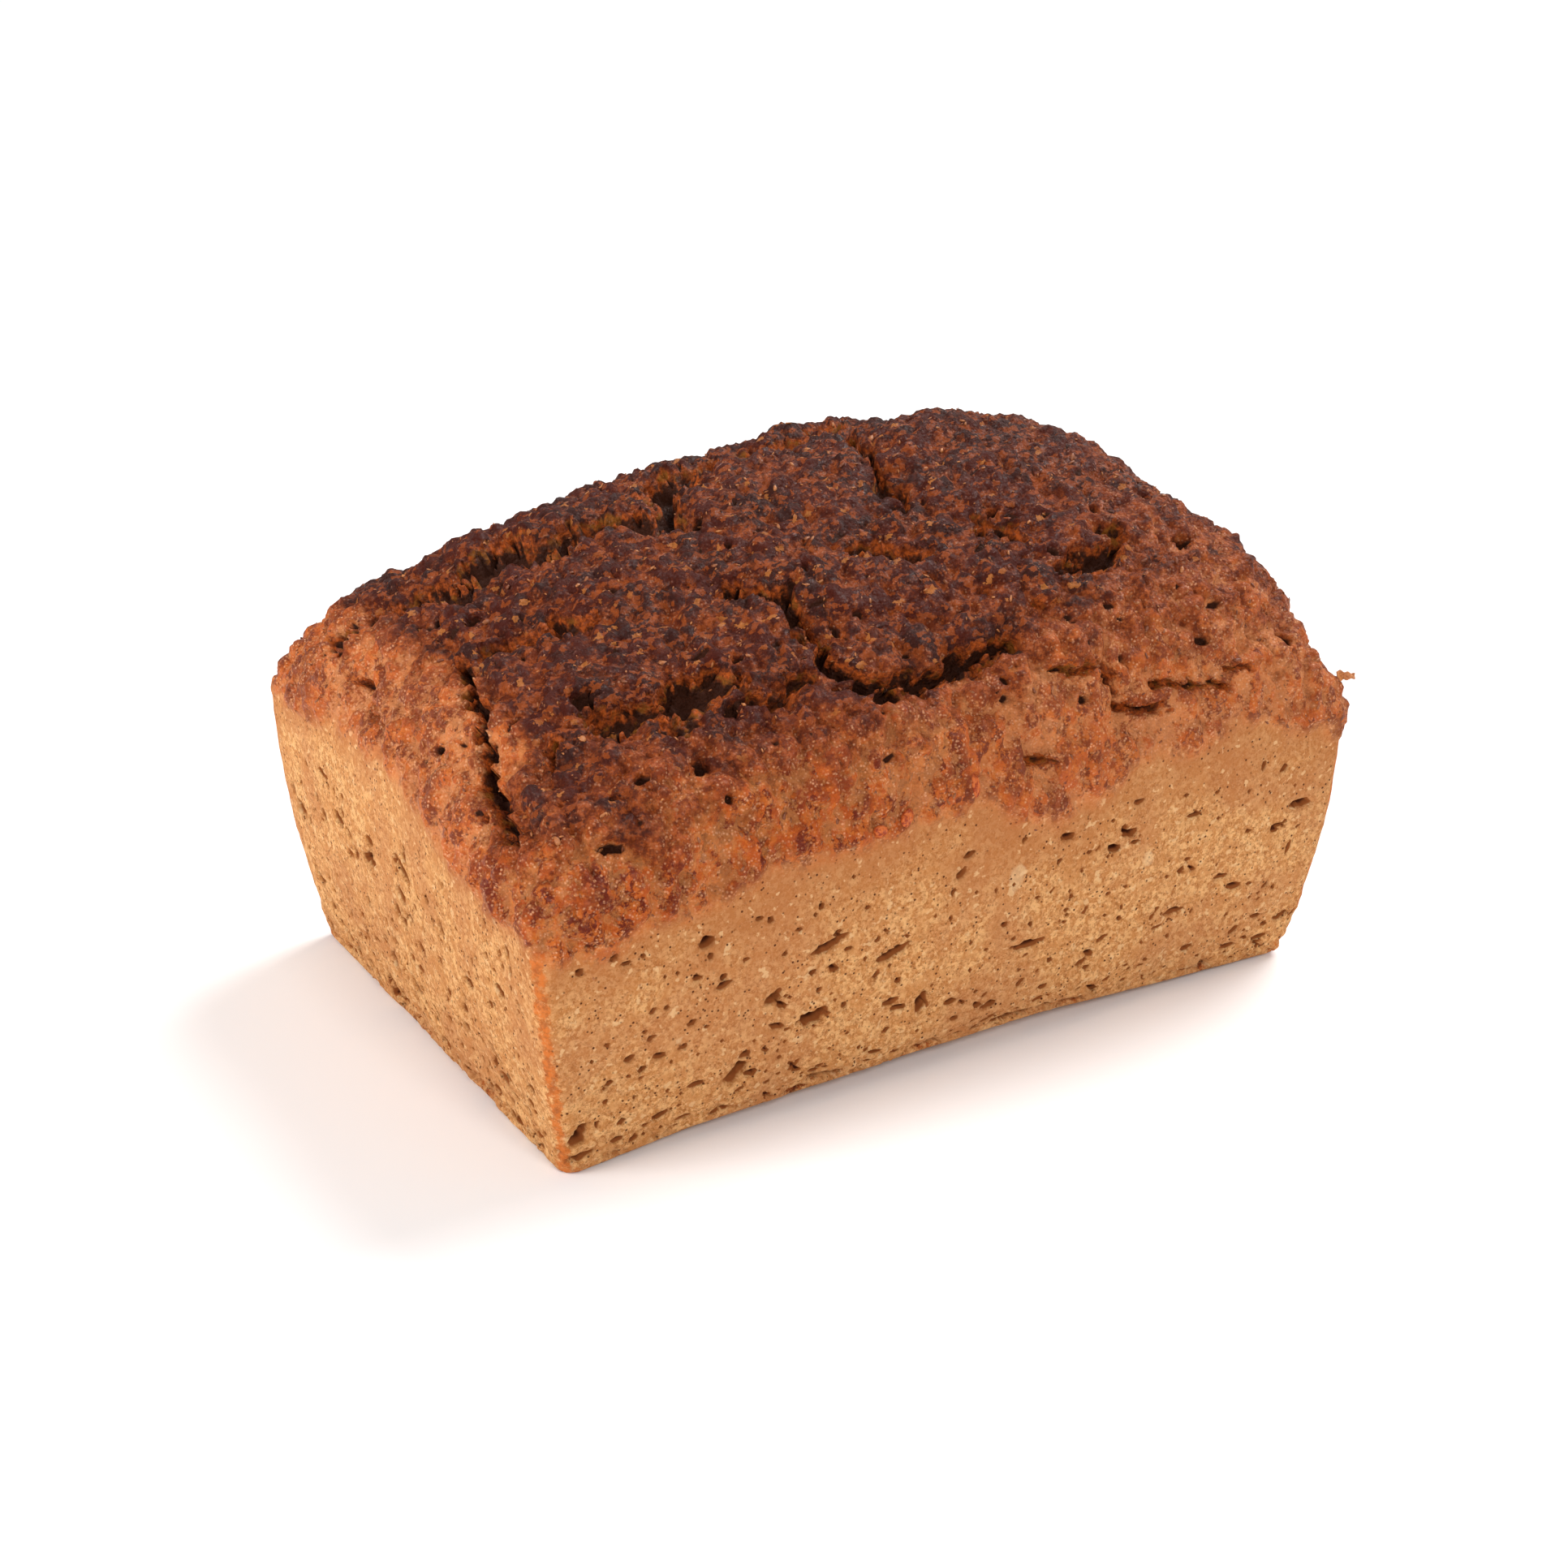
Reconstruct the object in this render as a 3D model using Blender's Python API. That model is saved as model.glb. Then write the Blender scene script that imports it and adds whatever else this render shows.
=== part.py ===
"""A small rye loaf baked in a tin: flat tapered sides, a domed crown split along its ridge.

Metres, +Z up, X along the loaf. The origin is the middle of the flat underside.
"""

from collections import namedtuple

import bmesh
import bpy
import numpy as np
from mathutils import Vector, noise

# Tin-shaped lower half
BASE_LENGTH = 0.147
BASE_WIDTH = 0.098
RIM_LENGTH = 0.1585
RIM_WIDTH = 0.1082
RIM_HEIGHT = 0.0458
WALL_BULGE = 0.0012
CORNER_RADIUS = 0.0028
BASE_EDGE_RADIUS = 0.0010

# Domed crown
CROWN_RISE = 0.0441
END_POWER = 2.65
END_ROUNDING = 0.38
END_ROUNDING_LEAN = 0.02
SIDE_POWER = 1.75
SIDE_ROUNDING = 0.336
SIDE_ROUNDING_LEAN = 0.03
LEAN_ALONG = 0.23
LEAN_ACROSS = 0.115

# How far the long near side is lifted off the table along its bottom edge, as (x, lift)
NEAR_EDGE_LIFT = [(-0.073, 0.0), (-0.050, 0.002), (-0.010, 0.0028), (0.018, 0.003), (0.045, 0.0015),
                  (0.070, 0.0005)]
LIFT_REACH = 0.012
LIFT_FADE_HEIGHT = 0.009
UNDERSIDE_TRIM = 0.0004

# Height of the line where the crust meets the tin wall, as (x, z) and (y, z)
NEAR_TIN_LINE = [(-0.078, 0.040), (-0.060, 0.0425), (-0.030, 0.047), (0.0, 0.0485), (0.012, 0.042),
                 (0.022, 0.0435), (0.032, 0.049), (0.060, 0.0495), (0.077, 0.045)]
LEFT_TIN_LINE = [(-0.054, 0.042), (-0.028, 0.046), (0.0, 0.053), (0.025, 0.053), (0.048, 0.048)]
FAR_TIN_LINE = [(-0.078, 0.048), (-0.040, 0.0445), (0.0, 0.049), (0.040, 0.045), (0.077, 0.047)]
RIGHT_TIN_LINE = [(-0.054, 0.045), (-0.020, 0.0485), (0.015, 0.045), (0.054, 0.047)]
TIN_LINE_BLEND = 0.0015

# Relief of the crust
PLATE_SIZE = 0.026
PLATE_HEIGHT = 0.0022
KNOB_SIZE = 0.010
KNOB_HEIGHT = 0.0011
LUMP_SIZE = 0.0055
LUMP_HEIGHT = 0.0011
CRUST_STEP = 0.0005
CROWN_SETTLE = 0.0006
CROWN_SETTLE_REACH = 0.018
WALL_WAVE_SIZE = 0.022
WALL_WAVE_HEIGHT = 0.0005
LIP_HEIGHT = 0.0008
CRACK_WOBBLE = 0.0010
CRACK_WOBBLE_SIZE = 0.0045
CRACK_STEP = 0.0015
RAGGED_SHARE = 0.45
RAGGED_SIZE = 0.0035

# Cracks: width, depth and the places each passes through, those of the far side last
Crack = namedtuple("Crack", "width depth path")
CRACKS = [
    Crack(0.0090, 0.0050, [(-0.068, 0.028, 0.068), (-0.061, 0.021, 0.073), (-0.056, 0.014, 0.076),
                           (-0.050, 0.017, 0.079), (-0.042, 0.010, 0.082), (-0.034, 0.011, 0.084),
                           (-0.025, 0.002, 0.086)]),
    Crack(0.0080, 0.0045, [(-0.025, 0.004, 0.086), (-0.016, 0.021, 0.087), (-0.004, 0.020, 0.088),
                           (0.005, 0.020, 0.089), (0.013, 0.020, 0.090), (0.023, 0.023, 0.090),
                           (0.034, 0.022, 0.090), (0.046, 0.018, 0.090)]),
    Crack(0.0030, 0.0035, [(0.017, 0.014, 0.091), (0.015, 0.005, 0.092), (0.011, -0.008, 0.090),
                           (0.010, -0.015, 0.088)]),
    Crack(0.0036, 0.0045, [(-0.067, -0.002, 0.070), (-0.067, -0.008, 0.069), (-0.069, -0.015, 0.067),
                           (-0.070, -0.022, 0.065), (-0.072, -0.026, 0.0625), (-0.074, -0.028, 0.060),
                           (-0.075, -0.035, 0.058), (-0.076, -0.042, 0.056)]),
    Crack(0.0042, 0.0034, [(-0.063, -0.006, 0.072), (-0.060, -0.006, 0.074), (-0.055, -0.010, 0.076),
                           (-0.049, -0.014, 0.077)]),
    Crack(0.0042, 0.0050, [(-0.028, -0.022, 0.080), (-0.021, -0.028, 0.080), (-0.020, -0.034, 0.0775),
                           (-0.020, -0.038, 0.075), (-0.0215, -0.042, 0.073), (-0.019, -0.045, 0.071),
                           (-0.010, -0.0475, 0.069), (0.0, -0.047, 0.070), (0.006, -0.046, 0.072),
                           (0.012, -0.046, 0.073)]),
    Crack(0.0034, 0.0034, [(-0.004, -0.0225, 0.084), (0.001, -0.0235, 0.084), (0.003, -0.0275, 0.083),
                           (0.007, -0.029, 0.083)]),
    Crack(0.0036, 0.0034, [(0.018, -0.026, 0.085), (0.021, -0.0255, 0.0855), (0.0235, -0.029, 0.084),
                           (0.025, -0.032, 0.083)]),
    Crack(0.0044, 0.0040, [(0.0265, -0.038, 0.0795), (0.0315, -0.038, 0.0795), (0.036, -0.037, 0.080),
                           (0.042, -0.035, 0.0805)]),
    Crack(0.0052, 0.0034, [(-0.058, -0.035, 0.068), (-0.055, -0.035, 0.069), (-0.050, -0.0355, 0.070),
                           (-0.0465, -0.038, 0.070), (-0.041, -0.038, 0.072), (-0.036, -0.0385, 0.072)]),
    Crack(0.0030, 0.0028, [(-0.0325, -0.0435, 0.070), (-0.028, -0.042, 0.0715), (-0.025, -0.042, 0.072)]),
    Crack(0.0020, 0.0026, [(-0.076, 0.0215, 0.0605), (-0.0755, 0.014, 0.062)]),
    Crack(0.0030, 0.0028, [(-0.052, 0.040, 0.068), (-0.036, 0.044, 0.070), (-0.020, 0.040, 0.078)]),
    Crack(0.0030, 0.0028, [(0.014, 0.042, 0.080), (0.028, 0.045, 0.076), (0.046, 0.040, 0.078)]),
    Crack(0.0028, 0.0026, [(0.070, -0.012, 0.074), (0.072, 0.006, 0.073), (0.069, 0.020, 0.076)]),
]
NARROWEST_CRACK = 0.0028

# Larger round holes in the crown, as (x, y, z, width)
CROWN_HOLES = [(-0.061, 0.004, 0.074, 0.0032), (-0.0575, -0.0295, 0.070, 0.0036),
               (-0.0475, -0.048, 0.064, 0.0032), (0.0525, -0.0365, 0.078, 0.0034)]

# Larger holes in the near long side (x, z, width) and in the left end (y, z, width)
NEAR_HOLES = [(-0.0505, 0.0365, 0.0032), (-0.0375, 0.022, 0.0032), (-0.0295, 0.0165, 0.0042),
              (-0.044, 0.011, 0.0045), (-0.0135, 0.024, 0.0036), (-0.0285, 0.029, 0.0036),
              (-0.008, 0.013, 0.0034), (0.0325, 0.0355, 0.0034), (0.0715, 0.031, 0.0042),
              (0.044, 0.0165, 0.0036), (0.0485, 0.0085, 0.0032), (-0.071, 0.005, 0.0045),
              (0.012, 0.019, 0.0042)]
LEFT_HOLES = [(-0.018, 0.015, 0.0045), (-0.037, 0.0355, 0.0032), (0.004, 0.011, 0.0036),
              (0.014, 0.0105, 0.0042), (0.0165, 0.030, 0.0038), (0.018, 0.005, 0.0042),
              (0.0495, 0.026, 0.0036), (-0.038, 0.022, 0.0030)]
SCATTERED_HOLES = 34
SCATTERED_HOLE_WIDTHS = (0.0026, 0.0040)
HOLE_DEPTH = 0.55
SEED = 41

# Mesh
CELL = 0.0013
TRIANGLES = 11000
BLOCK_HEIGHT = 0.080
SPINE_HALF_LENGTH = 0.030
SPINE_HEIGHT = 0.027
SEARCH_STEPS = 30

CRUST_COLOUR = (0.21, 0.075, 0.028, 1.0)
CRUST_ROUGHNESS = 0.62


def clear_scene():
    for item in list(bpy.data.objects):
        bpy.data.objects.remove(item, do_unlink=True)


def smooth_step(value, low, high):
    share = np.clip((value - low) / (high - low), 0.0, 1.0)
    return share * share * (3.0 - 2.0 * share)


def read_line(line, place):
    places, values = zip(*line)
    return np.interp(place, places, values)


def wave(points, size, seed):
    """Smooth noise of about -1 to 1 with features of the given size."""
    shift = Vector((17.3, 5.1, 9.7)) * seed
    return np.array([noise.noise(Vector(point) / size + shift) for point in points])


def lumps(points, size, seed):
    """Packed round lumps: 1 in the middle of a lump, about 0 between lumps."""
    shift = Vector((3.7, 11.9, 7.3)) * seed
    nearest = np.array([noise.voronoi(Vector(point) / size + shift)[0][0] for point in points])
    return 1.0 - np.minimum(1.5 * nearest * nearest, 1.0)


def wall_half_sizes(z):
    """Half length and half width of the tapered wall at height z."""
    rise = np.clip(z / RIM_HEIGHT, 0.0, 1.0)
    drop = np.clip(BASE_EDGE_RADIUS - z, 0.0, BASE_EDGE_RADIUS)
    tuck = BASE_EDGE_RADIUS - np.sqrt(BASE_EDGE_RADIUS ** 2 - drop ** 2)
    swell = WALL_BULGE * np.sin(np.pi * rise) - tuck
    half_length = (BASE_LENGTH + (RIM_LENGTH - BASE_LENGTH) * rise) / 2 + swell
    half_width = (BASE_WIDTH + (RIM_WIDTH - BASE_WIDTH) * rise) / 2 + swell
    return half_length, half_width


def crown_height(x, y):
    """Height of the crown over a point of the plan."""
    along = 2 * x / RIM_LENGTH
    across = 2 * y / RIM_WIDTH
    end_rounding = END_ROUNDING + END_ROUNDING_LEAN * along
    side_rounding = SIDE_ROUNDING + SIDE_ROUNDING_LEAN * across
    end_share = np.maximum(1 - np.abs(along) ** END_POWER, 0) ** end_rounding
    side_share = np.maximum(1 - np.abs(across) ** SIDE_POWER, 0) ** side_rounding
    lean = 1 + LEAN_ALONG * along + LEAN_ACROSS * across
    return RIM_HEIGHT + CROWN_RISE * end_share * side_share * lean


def is_inside(points):
    x, y, z = points.T
    half_length, half_width = wall_half_sizes(z)
    past_x = np.abs(x) - half_length + CORNER_RADIUS
    past_y = np.abs(y) - half_width + CORNER_RADIUS
    past_corner = np.hypot(np.maximum(past_x, 0), np.maximum(past_y, 0))
    in_wall = (past_corner <= CORNER_RADIUS) & (np.abs(x) <= half_length) & (np.abs(y) <= half_width)
    return in_wall & (z >= 0) & (z <= crown_height(x, y))


def fit_to_form(points):
    """Slide each point of the block along its ray from the loaf's spine onto the loaf's surface."""
    start = np.zeros_like(points)
    start[:, 0] = np.clip(points[:, 0], -SPINE_HALF_LENGTH, SPINE_HALF_LENGTH)
    start[:, 2] = SPINE_HEIGHT
    ray = points - start
    low = np.zeros(len(points))
    high = np.full(len(points), 2.0)
    for _ in range(SEARCH_STEPS):
        middle = (low + high) / 2
        inside = is_inside(start + middle[:, None] * ray)
        low = np.where(inside, middle, low)
        high = np.where(inside, high, middle)
    return start + low[:, None] * ray


def tin_line(points):
    """Height of the crust's lower edge beside each point."""
    x, y, z = points.T
    half_length, half_width = wall_half_sizes(z)
    near_or_far = np.where(y < 0, read_line(NEAR_TIN_LINE, x), read_line(FAR_TIN_LINE, x))
    left_or_right = np.where(x < 0, read_line(LEFT_TIN_LINE, y), read_line(RIGHT_TIN_LINE, y))
    end_weight = smooth_step((half_width - np.abs(y)) - (half_length - np.abs(x)), -0.004, 0.004)
    return near_or_far * (1 - end_weight) + left_or_right * end_weight


def distance_to_path(points, path):
    nearest = np.full(len(points), np.inf)
    for start, end in zip(path[:-1], path[1:]):
        leg = end - start
        share = np.clip((points - start) @ leg / (leg @ leg), 0, 1)
        gap = np.linalg.norm(points - start - share[:, None] * leg, axis=1)
        nearest = np.minimum(nearest, gap)
    return nearest


def crack_path(crack, seed):
    """The crack's line laid on the loaf's surface, with a ragged wobble."""
    corners = np.array(crack.path)
    legs = np.linalg.norm(np.diff(corners, axis=0), axis=1)
    run = np.concatenate([[0.0], np.cumsum(legs)])
    stops = np.linspace(0, run[-1], max(3, int(run[-1] / CRACK_STEP)))
    line = np.column_stack([np.interp(stops, run, corners[:, axis]) for axis in range(3)])
    wobble = np.column_stack([wave(line, CRACK_WOBBLE_SIZE, seed + 20 * axis) for axis in range(3)])
    return fit_to_form(line + CRACK_WOBBLE * wobble)


def crack_relief(points):
    """Depth of the cracks, with ragged edges and torn lips raised along both sides."""
    depth = np.zeros(len(points))
    lip = np.zeros(len(points))
    ragged = RAGGED_SHARE * wave(points, RAGGED_SIZE, 6)
    for number, crack in enumerate(CRACKS):
        half = max(crack.width, NARROWEST_CRACK) / 2
        gap = distance_to_path(points, crack_path(crack, number + 1)) / half + ragged
        depth = np.maximum(depth, crack.depth * (1 - smooth_step(gap, 0.15, 1.15)))
        lip = np.maximum(lip, LIP_HEIGHT * np.exp(-((gap - 1.5) / 0.5) ** 2))
    return lip * (depth < LIP_HEIGHT) - depth


def scattered_holes(draw):
    """More holes on the four walls, drawn at random and thicker towards the bottom."""
    holes = []
    for _ in range(SCATTERED_HOLES):
        width = draw.uniform(*SCATTERED_HOLE_WIDTHS)
        z = 0.004 + 0.034 * draw.uniform() ** 1.5
        half_length, half_width = wall_half_sizes(z)
        if draw.uniform() < 0.6:
            side = draw.choice([-1, 1], p=[0.25, 0.75])
            holes.append((draw.uniform(-0.068, 0.068), side * half_width, z, width))
        else:
            side = draw.choice([-1, 1], p=[0.25, 0.75])
            holes.append((side * half_length, draw.uniform(-0.044, 0.044), z, width))
    return holes


def all_holes():
    holes = [(x, -wall_half_sizes(z)[1], z, width) for x, z, width in NEAR_HOLES]
    holes += [(-wall_half_sizes(z)[0], y, z, width) for y, z, width in LEFT_HOLES]
    for *place, width in CROWN_HOLES:
        holes.append((*fit_to_form(np.array([place]))[0], width))
    return holes + scattered_holes(np.random.default_rng(SEED))


def hole_relief(points):
    depth = np.zeros(len(points))
    for x, y, z, width in all_holes():
        gap = np.linalg.norm(points - (x, y, z), axis=1) / (width / 2)
        depth = np.maximum(depth, HOLE_DEPTH * width * (1 - smooth_step(gap, 0.3, 1.2)))
    return -depth


def crust_relief(points):
    """Plates, knobs and fine lumps of the baked crust, strongest away from the rim."""
    crown_share = smooth_step(points[:, 2], RIM_HEIGHT, RIM_HEIGHT + CROWN_SETTLE_REACH)
    plates = PLATE_HEIGHT * wave(points, PLATE_SIZE, 1) - CROWN_SETTLE
    knobs = KNOB_HEIGHT * wave(points, KNOB_SIZE, 2)
    fine = LUMP_HEIGHT * (lumps(points, LUMP_SIZE, 3) - 0.5)
    return CRUST_STEP + fine + (plates + knobs) * crown_share


def relief(points):
    crust_share = smooth_step(points[:, 2] - tin_line(points), -TIN_LINE_BLEND, TIN_LINE_BLEND)
    wall = WALL_WAVE_HEIGHT * wave(points, WALL_WAVE_SIZE, 4)
    surface = wall * (1 - crust_share) + crust_relief(points) * crust_share
    return surface + crack_relief(points) * crust_share + hole_relief(points)


def lift_underside(points):
    """Raise the near bottom edge, where the loaf doesn't touch the table."""
    x, y, z = points.T
    from_edge = y + BASE_WIDTH / 2
    share = 1 - smooth_step(from_edge, 0.0, LIFT_REACH)
    fade = 1 - smooth_step(z, 0.0, LIFT_FADE_HEIGHT)
    lifted = points.copy()
    lifted[:, 2] = z + read_line(NEAR_EDGE_LIFT, x) * share * fade - UNDERSIDE_TRIM * (1 - share) * fade
    return lifted


def make_block():
    """A closed block of small square cells, a little larger than the tin-shaped half."""
    block = bmesh.new()
    bmesh.ops.create_cube(block, size=1.0)
    for axis, size in enumerate((RIM_LENGTH, RIM_WIDTH, BLOCK_HEIGHT)):
        along = [edge for edge in block.edges if abs(edge.verts[0].co[axis] - edge.verts[1].co[axis]) > 0.5]
        bmesh.ops.subdivide_edges(block, edges=along, cuts=round(size / CELL) - 1, use_grid_fill=True)
    bmesh.ops.translate(block, verts=block.verts, vec=(0, 0, 0.5))
    bmesh.ops.scale(block, verts=block.verts, vec=(RIM_LENGTH, RIM_WIDTH, BLOCK_HEIGHT))
    return block


def read_vectors(items, name):
    flat = np.empty(len(items) * 3)
    items.foreach_get(name, flat)
    return flat.reshape(-1, 3)


def write_points(mesh, points):
    mesh.vertices.foreach_set("co", points.ravel())
    mesh.update()


def shape_loaf(mesh):
    form = fit_to_form(read_vectors(mesh.vertices, "co"))
    write_points(mesh, form)
    normals = read_vectors(mesh.vertex_normals, "vector")
    off_base = smooth_step(form[:, 2], 0.0, BASE_EDGE_RADIUS)
    write_points(mesh, lift_underside(form + normals * (relief(form) * off_base)[:, None]))


def thin_out(loaf):
    """Keep the triangles where the relief is, and few on what is flat."""
    bpy.context.view_layer.objects.active = loaf
    thinner = loaf.modifiers.new("Thin out", "DECIMATE")
    thinner.ratio = TRIANGLES / (2 * len(loaf.data.polygons))
    bpy.ops.object.modifier_apply(modifier=thinner.name)


def flatten_underside(mesh):
    """Cut off the trim below the table and close it with one flat face."""
    shell = bmesh.new()
    shell.from_mesh(mesh)
    everything = shell.verts[:] + shell.edges[:] + shell.faces[:]
    cut = bmesh.ops.bisect_plane(shell, geom=everything, dist=1e-7, plane_co=(0, 0, 0), plane_no=(0, 0, 1),
                                 clear_inner=True)
    rim = [item for item in cut["geom_cut"] if isinstance(item, bmesh.types.BMEdge)]
    bmesh.ops.holes_fill(shell, edges=rim, sides=0)
    bmesh.ops.triangulate(shell, faces=shell.faces[:])
    bmesh.ops.recalc_face_normals(shell, faces=shell.faces[:])
    shell.to_mesh(mesh)
    shell.free()


def centre_on_plan(mesh):
    points = read_vectors(mesh.vertices, "co")
    middle = (points.min(axis=0) + points.max(axis=0)) / 2
    middle[2] = points[:, 2].min()
    write_points(mesh, points - middle)


def crust_material():
    material = bpy.data.materials.new("Rye crust")
    material.use_nodes = True
    shader = material.node_tree.nodes["Principled BSDF"]
    shader.inputs["Base Color"].default_value = CRUST_COLOUR
    shader.inputs["Roughness"].default_value = CRUST_ROUGHNESS
    return material


def make_loaf():
    mesh = bpy.data.meshes.new("loaf")
    block = make_block()
    block.to_mesh(mesh)
    block.free()
    shape_loaf(mesh)
    loaf = bpy.data.objects.new("loaf", mesh)
    bpy.context.scene.collection.objects.link(loaf)
    thin_out(loaf)
    flatten_underside(mesh)
    centre_on_plan(mesh)
    mesh.materials.append(crust_material())
    mesh.shade_smooth()
    return loaf


clear_scene()
make_loaf()
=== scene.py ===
"""A small rye loaf baked in a tin: the finish of its crust, its tin sides and its loose flakes."""

from collections import namedtuple
from math import radians

import bmesh
import bpy
import numpy as np
from bpy.props import FloatProperty, FloatVectorProperty, IntProperty, PointerProperty
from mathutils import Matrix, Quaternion, Vector, kdtree, noise


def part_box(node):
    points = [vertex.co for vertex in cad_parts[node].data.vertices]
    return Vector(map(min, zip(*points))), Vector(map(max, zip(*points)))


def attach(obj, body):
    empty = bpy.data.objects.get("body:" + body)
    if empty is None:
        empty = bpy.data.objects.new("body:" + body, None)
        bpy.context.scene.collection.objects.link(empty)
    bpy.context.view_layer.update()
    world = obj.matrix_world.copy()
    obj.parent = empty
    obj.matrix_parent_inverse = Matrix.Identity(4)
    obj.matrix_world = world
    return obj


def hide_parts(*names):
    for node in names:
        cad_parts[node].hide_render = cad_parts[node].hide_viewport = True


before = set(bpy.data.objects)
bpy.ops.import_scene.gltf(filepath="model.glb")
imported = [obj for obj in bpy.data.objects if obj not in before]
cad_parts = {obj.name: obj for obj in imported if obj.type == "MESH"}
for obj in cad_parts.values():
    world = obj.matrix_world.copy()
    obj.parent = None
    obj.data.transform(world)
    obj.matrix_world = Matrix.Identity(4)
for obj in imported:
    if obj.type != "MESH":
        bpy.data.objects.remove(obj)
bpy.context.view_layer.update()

bl_info = {
    "name": "Rye tin loaf",
    "version": (1, 0, 0),
    "blender": (4, 5, 0),
    "location": "View3D > Sidebar > Rye loaf",
    "description": "Makes a small rye loaf with a split dark crown and porous tin sides",
    "category": "Add Mesh",
}

# The frame's solid, and how far the crust stands proud of the tin's rim
CAD_NODE = "loaf"
NODE_LOW, NODE_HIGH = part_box(CAD_NODE)
CRUST_PROUD = 0.00106

# Tin-shaped lower half
RIM_LENGTH = NODE_HIGH[0] - NODE_LOW[0] - 2 * CRUST_PROUD
RIM_WIDTH = NODE_HIGH[1] - NODE_LOW[1] - 2 * CRUST_PROUD
RIM_HEIGHT = 0.0458
LENGTH_TAPER = 0.0115
WIDTH_TAPER = 0.0102
WALL_BULGE = 0.0012
CORNER_RADIUS = 0.0028
BASE_EDGE_RADIUS = 0.0010

# Domed crown
CROWN_RISE = 0.0441
END_POWER = 2.65
END_ROUNDING = 0.38
END_ROUNDING_LEAN = 0.02
SIDE_POWER = 1.75
SIDE_ROUNDING = 0.336
SIDE_ROUNDING_LEAN = 0.03
LEAN_ALONG = 0.23
LEAN_ACROSS = 0.115

# The tables of lines, cracks, holes, kernels and spots are in millimetres, all other lengths in metres

# How far the long near side is lifted off the table along its bottom edge, as (x, lift)
NEAR_EDGE_LIFT = [(-73, 0), (-50, 2), (-10, 2.8), (18, 3), (45, 1.5), (70, 0.5)]
LIFT_REACH = 0.012
LIFT_FADE_HEIGHT = 0.009
NOTCH_DEPTH = 0.0045

# Height of the line where the crust meets the tin wall, as (x, z) and (y, z)
NEAR_TIN_LINE = [(-78, 40), (-60, 42.5), (-30, 47), (0, 48.5), (12, 42), (22, 43.5), (32, 49), (60, 49.5),
                 (77, 45)]
LEFT_TIN_LINE = [(-54, 42), (-28, 46), (0, 53), (25, 53), (48, 48)]
FAR_TIN_LINE = [(-78, 48), (-40, 44.5), (0, 49), (40, 45), (77, 47)]
RIGHT_TIN_LINE = [(-54, 45), (-20, 48.5), (15, 45), (54, 47)]
TIN_LINE_SOFTNESS = 0.0026

# Height at which the crust turns from amber to dark: along the loaf as (x, z), and on the left end
CHAR_LINE = [(-76, 56), (-60, 57), (-36, 62), (-28, 66), (16, 68), (36, 74), (54, 75.5), (68, 69)]
LEFT_CHAR_HEIGHT = 0.072

# Over what height it turns, left and right of the middle, and where that changes along the loaf
CHAR_REACHES = (0.020, 0.055)
CHAR_REACH_PLACES = (0.015, 0.050)

# How far below the crust the walls are browned: on the ends and on the long sides
BROWNING_REACHES = (0.007, 0.020)

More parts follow.
